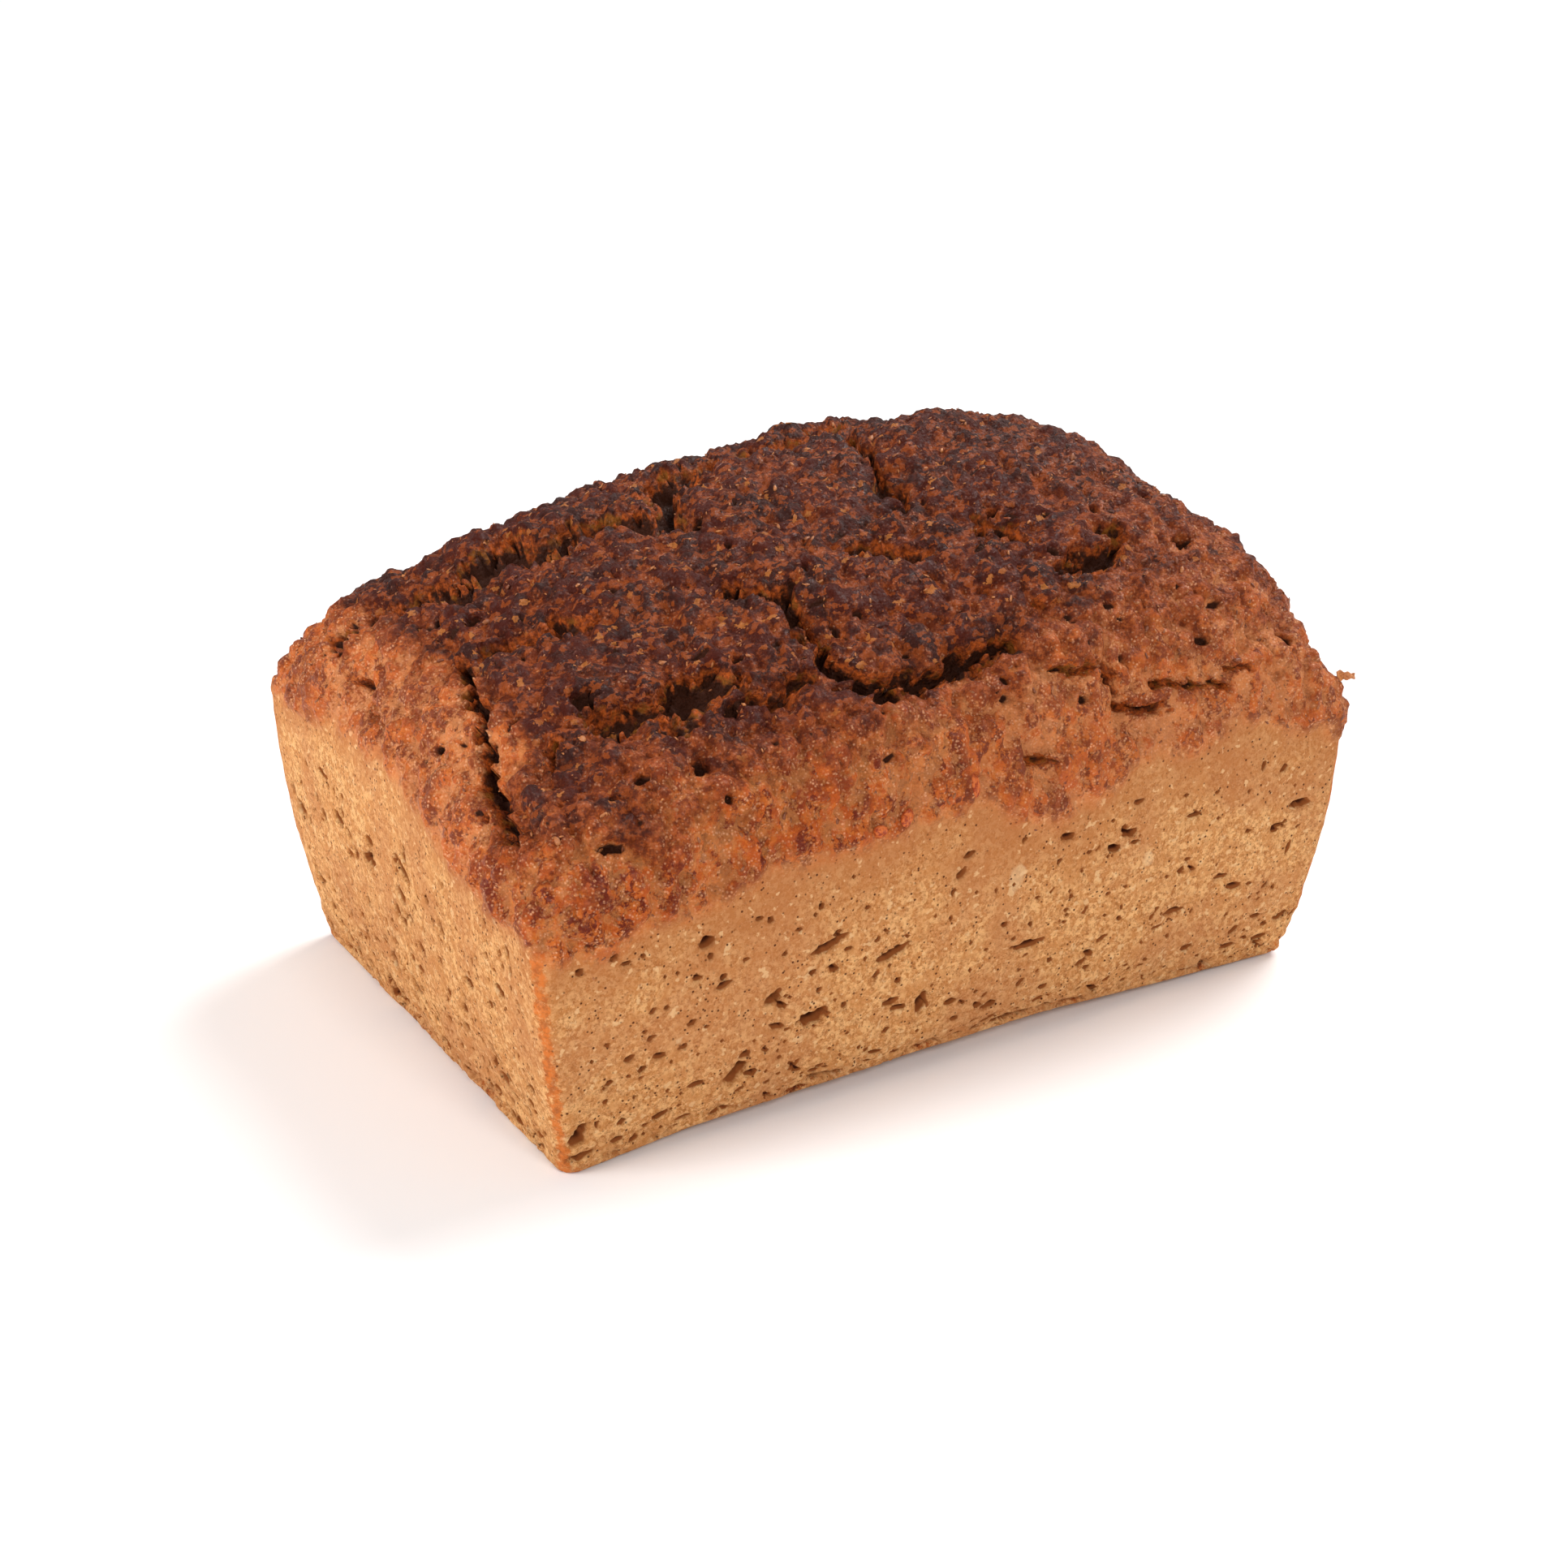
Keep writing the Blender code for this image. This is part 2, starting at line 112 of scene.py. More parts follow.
# Cracks: width, depth and the places each passes through, those of the far side last
Crack = namedtuple("Crack", "width depth path")
CRACKS = [
    Crack(6.4, 4.6, [(-68, 28, 68), (-61, 21, 73), (-56, 14, 76), (-50, 17, 79), (-42, 10, 82),
                     (-34, 11, 84), (-25, 2, 86)]),
    Crack(6, 4.4, [(-25, 4, 86), (-16, 21, 87), (-4, 20, 88), (5, 20, 89), (13, 20, 90), (23, 23, 90),
                   (34, 22, 90), (46, 18, 90)]),
    Crack(3, 3.5, [(17, 14, 91), (15, 5, 92), (11, -8, 90), (10, -15, 88)]),
    Crack(2.8, 4, [(-67, -2, 70), (-67, -8, 69), (-69, -15, 67), (-70, -22, 65), (-72, -26, 62.5),
                   (-74, -28, 60), (-75, -35, 58), (-76, -42, 56)]),
    Crack(4.2, 3.4, [(-63, -6, 72), (-60, -6, 74), (-55, -10, 76), (-49, -14, 77)]),
    Crack(3.4, 4.6, [(-28, -22, 80), (-21, -28, 80), (-20, -34, 77.5), (-20, -38, 75), (-21.5, -42, 73),
                     (-19, -45, 71), (-10, -47.5, 69), (0, -47, 70), (6, -46, 72), (12, -46, 73)]),
    Crack(3.4, 3.4, [(-4, -22.5, 84), (1, -23.5, 84), (3, -27.5, 83), (7, -29, 83)]),
    Crack(3.6, 3.4, [(18, -26, 85), (21, -25.5, 85.5), (23.5, -29, 84), (25, -32, 83)]),
    Crack(4.4, 4, [(26.5, -38, 79.5), (31.5, -38, 79.5), (36, -37, 80), (42, -35, 80.5)]),
    Crack(5.2, 3.4, [(-58, -35, 68), (-55, -35, 69), (-50, -35.5, 70), (-46.5, -38, 70), (-41, -38, 72),
                     (-36, -38.5, 72)]),
    Crack(3, 2.8, [(-32.5, -43.5, 70), (-28, -42, 71.5), (-25, -42, 72)]),
    Crack(1.8, 2.4, [(17, -50, 67), (22, -51, 67), (28, -51.5, 65), (28, -52.5, 62)]),
    Crack(1.6, 2.2, [(37.5, -53, 61), (44, -53, 60), (50.5, -53, 58.5)]),
    Crack(1.8, 2.2, [(28.5, -53.5, 59), (33, -53.5, 57.5), (38, -53.5, 57)]),
    Crack(1.4, 1.8, [(49, -52.5, 61.5), (55, -52.5, 60.5)]),
    Crack(1.4, 1.6, [(9, -54, 53.5), (14, -54, 52.5)]),
    Crack(1.6, 1.8, [(18, -42.5, 76), (22, -43, 75.5)]),
    Crack(2, 2.6, [(-76, 21.5, 60.5), (-75.5, 14, 62)]),
    Crack(1.4, 2, [(-77.5, 11, 58), (-77.5, 6, 58.5)]),
    Crack(1.6, 2, [(-65, -33, 65.5), (-67, -36.5, 63.5)]),
    Crack(3, 2.8, [(-52, 40, 68), (-36, 44, 70), (-20, 40, 78)]),
    Crack(3, 2.8, [(14, 42, 80), (28, 45, 76), (46, 40, 78)]),
    Crack(2.8, 2.6, [(70, -12, 74), (72, 6, 73), (69, 20, 76)]),
]
CRACK_STEP = 0.0012
CRACK_WOBBLE = 0.0009
CRACK_WOBBLE_SIZE = 0.0035
CRACK_SEED = 23
CRACK_MARGIN = 0.008
SLIT_SHARE = 0.50
BUBBLE_SHARE = 0.8
TORN_REACH = 0.0006
TORN_DEPTHS = (0.0004, 0.0013)
VALLEY_SHARE = 0.32
VALLEY_REACH = 0.0070
LIP_HEIGHT = 0.0006
DARK_DEPTH = 0.004
CRUMBLE_DEPTH = 0.0015

# Larger holes of the crown, as (x, y, z, width)
CROWN_HOLES = [(-61, 4, 74, 3.2), (-57.5, -29.5, 70, 3.6), (-47.5, -48, 64, 3), (-57, -46.5, 62.5, 2),
               (-62, -47, 61, 1.6), (52.5, -36.5, 78, 3.4), (-39, -42, 69, 2.8)]

# Holes of the near long side, as (x, z, width, length, turn in degrees)
NEAR_HOLES = [(-50, 37, 2.2, 2.8, 0), (-49.5, 34.5, 1.2, 1.2, 0), (-72, 38, 1.4, 1.6, 0),
              (-39, 38, 1.2, 1.2, 0), (-28.5, 30.5, 1.8, 7.6, 15), (-31, 26.5, 1.3, 1.3, 0),
              (-38, 23.5, 2.8, 3, 0), (-15.5, 25.5, 2, 6.9, 15), (-30, 17.5, 3, 5.9, 10),
              (-44, 11, 3, 5.3, 45), (-33, 9, 1, 3.4, 40), (-13.5, 14.5, 1.4, 2.9, -5),
              (-9, 14, 2.6, 4.1, 75), (-3, 12.5, 1.4, 2.8, 10), (-3, 37, 1.6, 2.4, 45),
              (6.5, 25, 1.2, 1.4, 0), (12, 19.5, 1.4, 7.8, 0), (5.5, 9, 1.6, 3.4, 0),
              (-1.5, 8.5, 1.3, 1.6, 0), (-57, 27.5, 1.1, 1.1, 0), (-52.5, 23.5, 1.1, 1.7, 30),
              (-58, 19, 1.2, 2.6, 0), (-61, 17, 1.1, 2.2, 45), (-71.5, 7.5, 3, 5, 60),
              (-71, 3.5, 2, 4.6, 10), (-64, 8, 1.2, 1.5, 0), (-56.5, 6.5, 1.3, 2.6, 30),
              (-52.5, 4, 1.4, 3.3, 10), (-29, 6, 1.2, 2.1, -10), (-17, 6, 1.6, 2.9, 0),
              (31.5, 36, 1.8, 3.6, 0), (32.5, 41.5, 1, 2.6, 0), (45.5, 36, 1, 3.4, 0),
              (60, 42, 1.1, 2.1, 60), (65, 40.5, 1.4, 2, 45), (70, 32.5, 1.8, 5.2, 0),
              (44, 25.5, 1.2, 1.5, 0), (53.5, 22, 1, 3.1, 0), (23.5, 23, 1, 2.3, 65),
              (43.5, 17.5, 1.4, 4.4, 0), (68.5, 24, 0.8, 3.5, 75), (48.5, 8.5, 1.6, 3.4, 0),
              (17.5, 14.5, 1.1, 1.3, 0), (58.5, 5.5, 1.4, 3.9, 0), (66, 5.5, 1.4, 3.8, 10),
              (73, 9, 1, 2.2, 45)]

# Holes of the left end, as (y, z, width, length, turn in degrees)
LEFT_HOLES = [(29.5, 41, 1, 4.6, -5), (47, 31.5, 2, 2.2, -40), (44, 28.5, 2.4, 4.4, -20),
              (31.5, 32, 2, 2.4, -40), (23.5, 34.5, 1.2, 3.4, 0), (19.5, 33.5, 1.2, 2.8, -35),
              (17.5, 30.5, 1.8, 2.2, -50), (11, 32, 2.8, 3.6, -45), (-2.5, 35.5, 1.6, 6.6, -35),
              (-0.5, 30, 1.8, 3.8, -30), (2, 26, 1.6, 2.2, -75), (-6, 30, 1.2, 1.6, -20),
              (9.5, 12.5, 2.6, 4.4, -75), (15.5, 6, 2.2, 3.2, -10), (1, 12.5, 2, 3.8, 75),
              (-7, 22, 1.2, 1.6, 85), (-35.5, 34.5, 1.2, 1.4, -50), (-41, 37.5, 1, 1.2, 0),
              (-44, 39, 1, 2.2, -50), (-44.5, 36, 1, 1.8, 90), (-22, 18.5, 1.6, 2, -55),
              (-12, 34, 1, 1.8, -70), (14, 4, 2.2, 2.4, -20), (31, 4.5, 2, 2.4, -40)]

# Widths of the holes against those listed, on the long sides and on the ends, and their depth by width
HOLE_OPENINGS = (0.85, 1.30)
HOLE_DEPTH = 1.05
HOLE_DEPTH_LIMIT = 0.0028

# Small holes drawn at random on all four walls, and small pits on the crown
DRAWN_HOLES = 1250
DRAWN_HOLE_WIDTHS = (0.0004, 0.0016)
DRAWN_HOLE_HEIGHTS = (0.002, 0.042)
DRAWN_HOLE_REACHES = (0.071, 0.046)
DRAWN_HOLE_TURNS = (5, 35)
HOLE_SEED = 41
CROWN_PITS = 420
PIT_WIDTHS = (0.0006, 0.0020)
PIT_SEED = 57

# Each wall's level direction and its outward direction
FACE_FRAMES = {"near": ((1, 0, 0), (0, -1, 0)), "far": ((-1, 0, 0), (0, 1, 0)),
               "left": ((0, -1, 0), (-1, 0, 0)), "right": ((0, 1, 0), (1, 0, 0))}

# Relief: plates and knobs of the crown, lumps and crags of all the crust, swells and crumbs of the walls
Relief = namedtuple("Relief", "height size seed")
PLATES = Relief(0.0026, 0.026, 1)
PLATE_SINK = 0.0004
PLATE_FADE = 0.018
KNOBS = Relief(0.0014, 0.010, 2)
LUMPS = [Relief(0.0012, 0.0060, 3), Relief(0.0015, 0.0028, 5), Relief(0.0006, 0.0014, 11)]
LUMP_WEIGHTS = (0.35, 0.30, 0.20)
LUMP_SAG = (1.0, 1.0, 0.55)
LUMP_WARP = 0.0011
LUMP_WARP_SIZE = 0.0032
LUMP_WARP_SEED = 12
CRUST_CRAGS = Relief(0.0005, 0.0038, 9)
CRAG_WEIGHT = 0.25
CRUST_BASE = 0.0004
WALL_SWELLS = Relief(0.0005, 0.022, 4)
WALL_CRUMBS = (0.0001, 0.0004)

# Whole kernels in the rim, as place, size along, across and through, and turn in degrees
KERNELS = [((-1.7, -54.5, 52.6), (4.4, 2.2, 1.6), 80), ((-15, -54.5, 50), (3.6, 2.6, 1.8), 20),
           ((-20, -54.5, 49), (3, 2.4, 1.6), 130), ((30, 54, 53), (4.2, 2.2, 1.6), 60),
           ((79, 20, 54), (4, 2.2, 1.6), 100)]

# Pale starchy spots of the near wall, as (x, z, radius)
STARCH_SPOTS = [(8, 34, 2.2), (-54, 21, 1.2), (36, 30, 1.4), (52, 30, 1)]

# Loose flake at the right end of the rim, and how far it stands off the crust
FLAKE_PLACE = (0.0800, -0.0515, 0.0562)
FLAKE_SIZE = (0.0034, 0.0020, 0.0020)
FLAKE_OFFSET = Vector((0.0014, -0.0004, 0.0))
FLAKE_TURN = (radians(70), radians(4), radians(-25))
FLAKE_THICKNESS = 0.0003

# Scattered bran and cracked grain: each kind's length, width and thickness against its usual length
BRAN_SHAPE = (1.0, 0.42, 0.16)
BRAN_SEED = 5
GRAIN_SHAPE = (1.0, 0.55, 0.22)
GRAIN_SEED = 6
BIT_SPREAD = 0.35
BIT_TILT = 0.25
BIT_ROUGHNESS = 0.06

# Mesh of the loaf
CELL = 0.00045
TRIANGLES = 192000
BLOCK_HEIGHT = 0.080
SPINE_HALF_LENGTH = 0.030
SPINE_HEIGHT = 0.027
SEARCH_STEPS = 26
SEARCH_LIMIT = 2.0

# Camera
CAMERA_AZIMUTH = radians(-31.272)
CAMERA_ELEVATION = radians(23.445)
CAMERA_DISTANCE = 0.40397
CAMERA_AIM = Vector((-0.019104, -0.024543, 0.045439))
SENSOR_WIDTH = 36.0
LENS = 55.9

# Floor and lights: place, aim and size of the soft lights, and the way to the broad one behind
FLOOR_SIZE = 12.0
FLOOR_COLOUR = (0.95, 0.935, 0.93, 1.0)
WHITE = (1.0, 1.0, 1.0, 1.0)
LEFT_LIGHT = ((-0.90, 0.05, 0.40), (0, 0, 0.03), 0.50)
FRONT_LIGHT = ((-0.15, -1.00, 0.75), (0, 0, 0.04), 0.34)
BACK_LIGHT_WAY = (0.85, 0.25, 1.0)
BACK_LIGHT_ANGLE = radians(35)


def tone(red, green, blue):
    """A linear colour from the eight-bit values seen on screen."""
    seen = np.array([red, green, blue]) / 255
    linear = np.where(seen <= 0.04045, seen / 12.92, ((seen + 0.055) / 1.055) ** 2.4)
    return (*linear.tolist(), 1.0)


def metres(millimetres):
    """Lengths given in millimetres, in metres."""
    return np.array(millimetres) / 1000


def smooth_step(value, low, high):
    """0 below low, 1 above high, and smoothly between them."""
    share = np.clip((value - low) / (high - low), 0.0, 1.0)
    return share * share * (3.0 - 2.0 * share)


def read_line(line, place):
    """Height of a tabled line at each place along it."""
    places, values = metres(line).T
    return np.interp(place, places, values)


def wave(points, size, seed):
    """Smooth noise of about -1 to 1 with features of the given size."""
    shift = Vector((17.3, 5.1, 9.7)) * seed
    return np.array([noise.noise(Vector(point) + shift) for point in (points / size).tolist()])


def crags(points, size, seed, layers=3):
    """Rough noise: the wave with finer waves of half the size and height laid over it."""
    return sum(wave(points, size / 2 ** layer, seed + 50 * layer) / 2 ** layer for layer in range(layers))


def pushes(points, size, seed):
    """Smooth noise for each of the three directions."""
    return np.column_stack([wave(points, size, seed + 20 * axis) for axis in range(3)])


def lumps(points, size, seed):
    """Packed round lumps: 1 in the middle of a lump, about 0 between lumps."""
    shift = Vector((3.7, 11.9, 7.3)) * seed
    nearest = np.array([noise.voronoi(Vector(point) + shift)[0][0] for point in (points / size).tolist()])
    return 1.0 - np.minimum(1.5 * nearest * nearest, 1.0)


def raised(pattern, points, relief):
    """One noise pattern of the relief's height, size and seed."""
    return relief.height * pattern(points, relief.size, relief.seed)


def wall_half_sizes(z):
    """Half length and half width of the tapered wall at height z."""
    rise = np.clip(z / RIM_HEIGHT, 0.0, 1.0)
    drop = np.clip(BASE_EDGE_RADIUS - z, 0.0, BASE_EDGE_RADIUS)
    tuck = BASE_EDGE_RADIUS - np.sqrt(BASE_EDGE_RADIUS ** 2 - drop ** 2)
    swell = WALL_BULGE * np.sin(np.pi * rise) - tuck
    half_length = (RIM_LENGTH - LENGTH_TAPER * (1 - rise)) / 2 + swell
    half_width = (RIM_WIDTH - WIDTH_TAPER * (1 - rise)) / 2 + swell
    return half_length, half_width


def crown_height(x, y):
    """Height of the crown over a point of the plan."""
    along = 2 * x / RIM_LENGTH
    across = 2 * y / RIM_WIDTH
    end_power = END_ROUNDING + END_ROUNDING_LEAN * along
    side_power = SIDE_ROUNDING + SIDE_ROUNDING_LEAN * across
    end_share = np.maximum(1 - np.abs(along) ** END_POWER, 0) ** end_power
    side_share = np.maximum(1 - np.abs(across) ** SIDE_POWER, 0) ** side_power
    lean = 1 + LEAN_ALONG * along + LEAN_ACROSS * across
    return RIM_HEIGHT + CROWN_RISE * end_share * side_share * lean


def is_inside(points):
    """Whether each point lies within the tapered wall and under the crown."""
    x, y, z = points.T
    half_length, half_width = wall_half_sizes(z)
    past_x = np.abs(x) - half_length + CORNER_RADIUS
    past_y = np.abs(y) - half_width + CORNER_RADIUS
    past_corner = np.hypot(np.maximum(past_x, 0), np.maximum(past_y, 0))
    in_wall = (past_corner <= CORNER_RADIUS) & (np.abs(x) <= half_length) & (np.abs(y) <= half_width)
    return in_wall & (z >= 0) & (z <= crown_height(x, y))


def fit_to_form(points):
    """Slide each point along its ray from the loaf's spine onto the loaf's surface."""
    start = np.zeros_like(points)
    start[:, 0] = np.clip(points[:, 0], -SPINE_HALF_LENGTH, SPINE_HALF_LENGTH)
    start[:, 2] = SPINE_HEIGHT
    ray = points - start
    low = np.zeros(len(points))
    high = np.full(len(points), SEARCH_LIMIT)
    for _ in range(SEARCH_STEPS):
        middle = (low + high) / 2
        inside = is_inside(start + middle[:, None] * ray)
        low = np.where(inside, middle, low)
        high = np.where(inside, high, middle)
    return start + low[:, None] * ray


def tin_line(points):
    """Height of the crust's lower edge beside each point."""
    x, y, z = points.T
    half_length, half_width = wall_half_sizes(z)
    near_or_far = np.where(y < 0, read_line(NEAR_TIN_LINE, x), read_line(FAR_TIN_LINE, x))
    left_or_right = np.where(x < 0, read_line(LEFT_TIN_LINE, y), read_line(RIGHT_TIN_LINE, y))
    end_weight = smooth_step((half_width - np.abs(y)) - (half_length - np.abs(x)), -0.004, 0.004)
    return near_or_far * (1 - end_weight) + left_or_right * end_weight


def distance_to_path(points, path):
    """Distance of each point from a line through the path's places."""
    nearest = np.full(len(points), np.inf)
    for start, end in zip(path[:-1], path[1:]):
        leg = end - start
        share = np.clip((points - start) @ leg / (leg @ leg), 0, 1)
        gap = np.linalg.norm(points - start - share[:, None] * leg, axis=1)
        nearest = np.minimum(nearest, gap)
    return nearest


def crack_path(crack, seed):
    """The crack's line laid on the loaf's surface, with a ragged wobble."""
    legs = np.linalg.norm(np.diff(crack.path, axis=0), axis=1)
    run = np.concatenate([[0.0], np.cumsum(legs)])
    stops = np.linspace(0, run[-1], max(3, int(run[-1] / CRACK_STEP)))
    line = np.column_stack([np.interp(stops, run, crack.path[:, axis]) for axis in range(3)])
    return fit_to_form(line + CRACK_WOBBLE * pushes(line, CRACK_WOBBLE_SIZE, seed))


def crack_bubbles(crack, path, draw):
    """The burst bubbles strung along a crack, as middle, direction, width, length and depth."""
    bubbles = []
    for start, end in zip(path[:-1], path[1:]):
        if draw.uniform() > BUBBLE_SHARE:
            continue
        direction = (end - start) / np.linalg.norm(end - start)
        width = crack.width * draw.uniform(0.55, 1.35)
        length = width * draw.uniform(1.0, 1.7)
        middle = start + 0.30 * crack.width * draw.normal(size=3)
        bubbles.append((middle, direction, width, length, crack.depth * draw.uniform(0.5, 1.2)))
    return bubbles


def crack_relief(points, tree):
    """Depth of the cracks and of the soft valleys beside them, height of the lips, and torn share."""
    depth = np.zeros(len(points))
    valley = np.zeros(len(points))
    torn = np.zeros(len(points))
    ragged = 0.00060 * wave(points, 0.0024, 6) + 0.00035 * wave(points, 0.0009, 7)
    torn_pits = lumps(points, 0.0019, 13)
    draw = np.random.default_rng(CRACK_SEED)
    bubbles = []
    for number, listed in enumerate(CRACKS):
        crack = Crack(*(metres(measure) for measure in listed))
        path = crack_path(crack, number + 1)
        bubbles += crack_bubbles(crack, path, draw)
        half = crack.width * SLIT_SHARE / 2
        reach = half + CRACK_MARGIN
        low, high = path.min(axis=0) - reach, path.max(axis=0) + reach
        near = np.all((points > low) & (points < high), axis=1)
        gap = distance_to_path(points[near], path) + ragged[near]
        slit = crack.depth * (1 - smooth_step(gap / half, 0.45, 1.05))
        frayed_gap = gap + 1.6 * ragged[near]
        fray = 1 - smooth_step(frayed_gap, 0.2 * crack.width, TORN_REACH + 0.38 * crack.width)
        torn_depth = fray * (TORN_DEPTHS[0] + np.ptp(TORN_DEPTHS) * torn_pits[near])
        rolled = VALLEY_SHARE * crack.depth * (1 - smooth_step(gap, 0.0, VALLEY_REACH))
        valley[near] = np.maximum(valley[near], rolled)
        depth[near] = np.maximum(depth[near], np.maximum(slit, torn_depth))
        torn[near] = np.maximum(torn[near], fray)
    bubble_depth, _ = hole_relief(points, tree, bubbles)
    depth = np.maximum(depth, bubble_depth)
    lip = np.exp(-((depth / 0.0008 - 0.45) / 0.30) ** 2) * (torn > 0.05)
    return depth, valley, lip, torn


def hole_on_wall(face, along, z, width, length, turn):
    """One hole as its middle, its long direction, its width, its length and its depth."""
    run, out = (np.array(vector, dtype=float) for vector in FACE_FRAMES[face])
    half_length, half_width = wall_half_sizes(z)
    middle = out * (half_width if face in ("near", "far") else half_length)
    middle = middle + np.abs(run) * along + (0, 0, z)
    width = width * HOLE_OPENINGS[face in ("left", "right")]
    direction = run * np.cos(radians(turn)) + np.array((0, 0, 1)) * np.sin(radians(turn))
    return middle, direction, width, length, min(HOLE_DEPTH * width + 0.0002, HOLE_DEPTH_LIMIT)


def holes_on_wall(face, table, side=1):
    """The holes of one table set on a wall; side -1 turns them half round for the wall across."""
    holes = []
    for *lengths, turn in table:
        along, z, width, length = metres(lengths)
        holes.append(hole_on_wall(face, side * along, z, width, length, turn))
    return holes


def drawn_holes():
    """Small holes at random on the four walls, thicker towards the bottom."""
    draw = np.random.default_rng(HOLE_SEED)
    holes = []
    for _ in range(DRAWN_HOLES):
        face = draw.choice(list(FACE_FRAMES))
        reach = DRAWN_HOLE_REACHES[face in ("left", "right")]
        width = draw.uniform(0, 1) ** 3.0 * np.ptp(DRAWN_HOLE_WIDTHS) + DRAWN_HOLE_WIDTHS[0]
        length = width * draw.uniform(1.0, 2.4)
        z = DRAWN_HOLE_HEIGHTS[0] + np.ptp(DRAWN_HOLE_HEIGHTS) * draw.uniform() ** 1.7
        turn = draw.normal(*DRAWN_HOLE_TURNS)
        holes.append(hole_on_wall(face, draw.uniform(-reach, reach), z, width, length, turn))
    return holes


def crown_pits():
    """Small torn pits at random over the crown, longer across the slope than down it."""
    draw = np.random.default_rng(PIT_SEED)
    reach = np.array((0.49 * RIM_LENGTH, 0.49 * RIM_WIDTH))
    plan = draw.uniform(-1, 1, size=(CROWN_PITS, 2)) * reach
    middles = fit_to_form(np.column_stack([plan, crown_height(*plan.T)]))
    pits = []
    for middle in middles:
        direction = np.array((draw.normal(), 0.5 * draw.normal(), 0.2 * draw.normal()))
        direction /= np.linalg.norm(direction)
        width = PIT_WIDTHS[0] + np.ptp(PIT_WIDTHS) * draw.uniform() ** 2.5
        length = width * draw.uniform(1.0, 3.2)
        pits.append((middle, direction, width, length, width * draw.uniform(0.5, 1.1)))
    return pits


def all_holes():
    """The holes seen in the walls and the crown, those of the hidden walls, and the small drawn ones."""
    holes = holes_on_wall("near", NEAR_HOLES) + holes_on_wall("left", LEFT_HOLES)
    holes += holes_on_wall("far", NEAR_HOLES[::2], -1) + holes_on_wall("right", LEFT_HOLES, -1)
    for *place, width in metres(CROWN_HOLES):
        middle = fit_to_form(np.array([place]))[0]
        holes.append((middle, np.array((1.0, 0, 0)), width, 1.3 * width, width))
    return holes + drawn_holes() + crown_pits()


def point_tree(points):
    """The points sorted so that those near a place are found quickly."""
    tree = kdtree.KDTree(len(points))
    for number, point in enumerate(points.tolist()):
        tree.insert(point, number)
    tree.balance()
    return tree


def hole_relief(points, tree, holes):
    """Depth of the holes at each point, and how much of a hole it is in, 0 to 1."""
    depth = np.zeros(len(points))
    inside = np.zeros(len(points))
    ragged = 0.42 * wave(points, 0.0011, 8)
    for middle, direction, width, length, deep in holes:
        found = [number for _, number, _ in tree.find_range(Vector(middle), length)]
        if not found:
            continue
        offset = points[found] - middle
        along = offset @ direction
        across = np.sqrt(np.maximum((offset ** 2).sum(axis=1) - along ** 2, 0))
        gap = np.hypot(along / (length / 2), across / (width / 2)) + ragged[found]
        fill = 1 - smooth_step(gap, 0.55, 1.10)
        depth[found] = np.maximum(depth[found], deep * fill)
        inside[found] = np.maximum(inside[found], fill)
    return depth, inside


def crust_relief(points):
    """Height of the crust's plates, knobs, lumps and crags, and how high each point is among the lumps."""
    crown_share = smooth_step(points[:, 2], RIM_HEIGHT, RIM_HEIGHT + PLATE_FADE)
    crown = raised(wave, points, PLATES) - PLATE_SINK + raised(wave, points, KNOBS)
    sagged = points * LUMP_SAG + LUMP_WARP * pushes(points, LUMP_WARP_SIZE, LUMP_WARP_SEED)
    rough = crags(points, CRUST_CRAGS.size, CRUST_CRAGS.seed)
    fine = CRUST_CRAGS.height * rough
    high = CRAG_WEIGHT * rough
    for lump, weight in zip(LUMPS, LUMP_WEIGHTS):
        packed = lumps(sagged, lump.size, lump.seed)
        fine += lump.height * (packed - 0.5)
        high += weight * packed
    return CRUST_BASE + fine + crown * crown_share, high


def wall_relief(points, bottom):
    """Height of the wall's swells, crumbs and ragged bottom edge, and how notched that edge is."""
    crumbs = crags(points, 0.0036, 18)
    crumbly = WALL_CRUMBS[0] + np.ptp(WALL_CRUMBS) * (1 - smooth_step(points[:, 2], 0.006, 0.032))
    notches = smooth_step(crags(points, 0.0095, 33), 0.16, 0.34) + 0.5 * smooth_step(crumbs, 0.15, 0.45)
    height = raised(wave, points, WALL_SWELLS) + crumbly * crumbs - NOTCH_DEPTH * notches * bottom
    return height, notches


def lift_underside(points):
    """Raise the near bottom edge, where the loaf doesn't touch the table."""
    x, y, z = points.T
    from_edge = y + (RIM_WIDTH - WIDTH_TAPER) / 2
    share = 1 - smooth_step(from_edge, 0.0, LIFT_REACH)
    fade = 1 - smooth_step(z, 0.0, LIFT_FADE_HEIGHT)
    lifted = points.copy()
    lifted[:, 2] = z + read_line(NEAR_EDGE_LIFT, x) * share * fade
    return lifted


def edge_toast(points):
    """How browned the wall is along its upright corners, and along its bottom edge, 0 to 1."""
    x, y, z = points.T
    half_length, half_width = wall_half_sizes(z)
    from_corner = np.hypot(half_length - np.abs(x), half_width - np.abs(y))
    uneven = wave(points, 0.007, 14) + 0.8 * wave(points, 0.0022, 19)
    corner = 1 - smooth_step(from_corner + 0.0004 * uneven, 0.0011, 0.0022)
    bottom = 1 - smooth_step(z + 0.0014 * uneven, 0.0, 0.0042)
    foot = 1 - smooth_step(np.hypot(from_corner, z) + 0.0012 * uneven, 0.0, 0.0060)
    return np.maximum(corner, foot), np.maximum(foot, 0.75 * bottom)


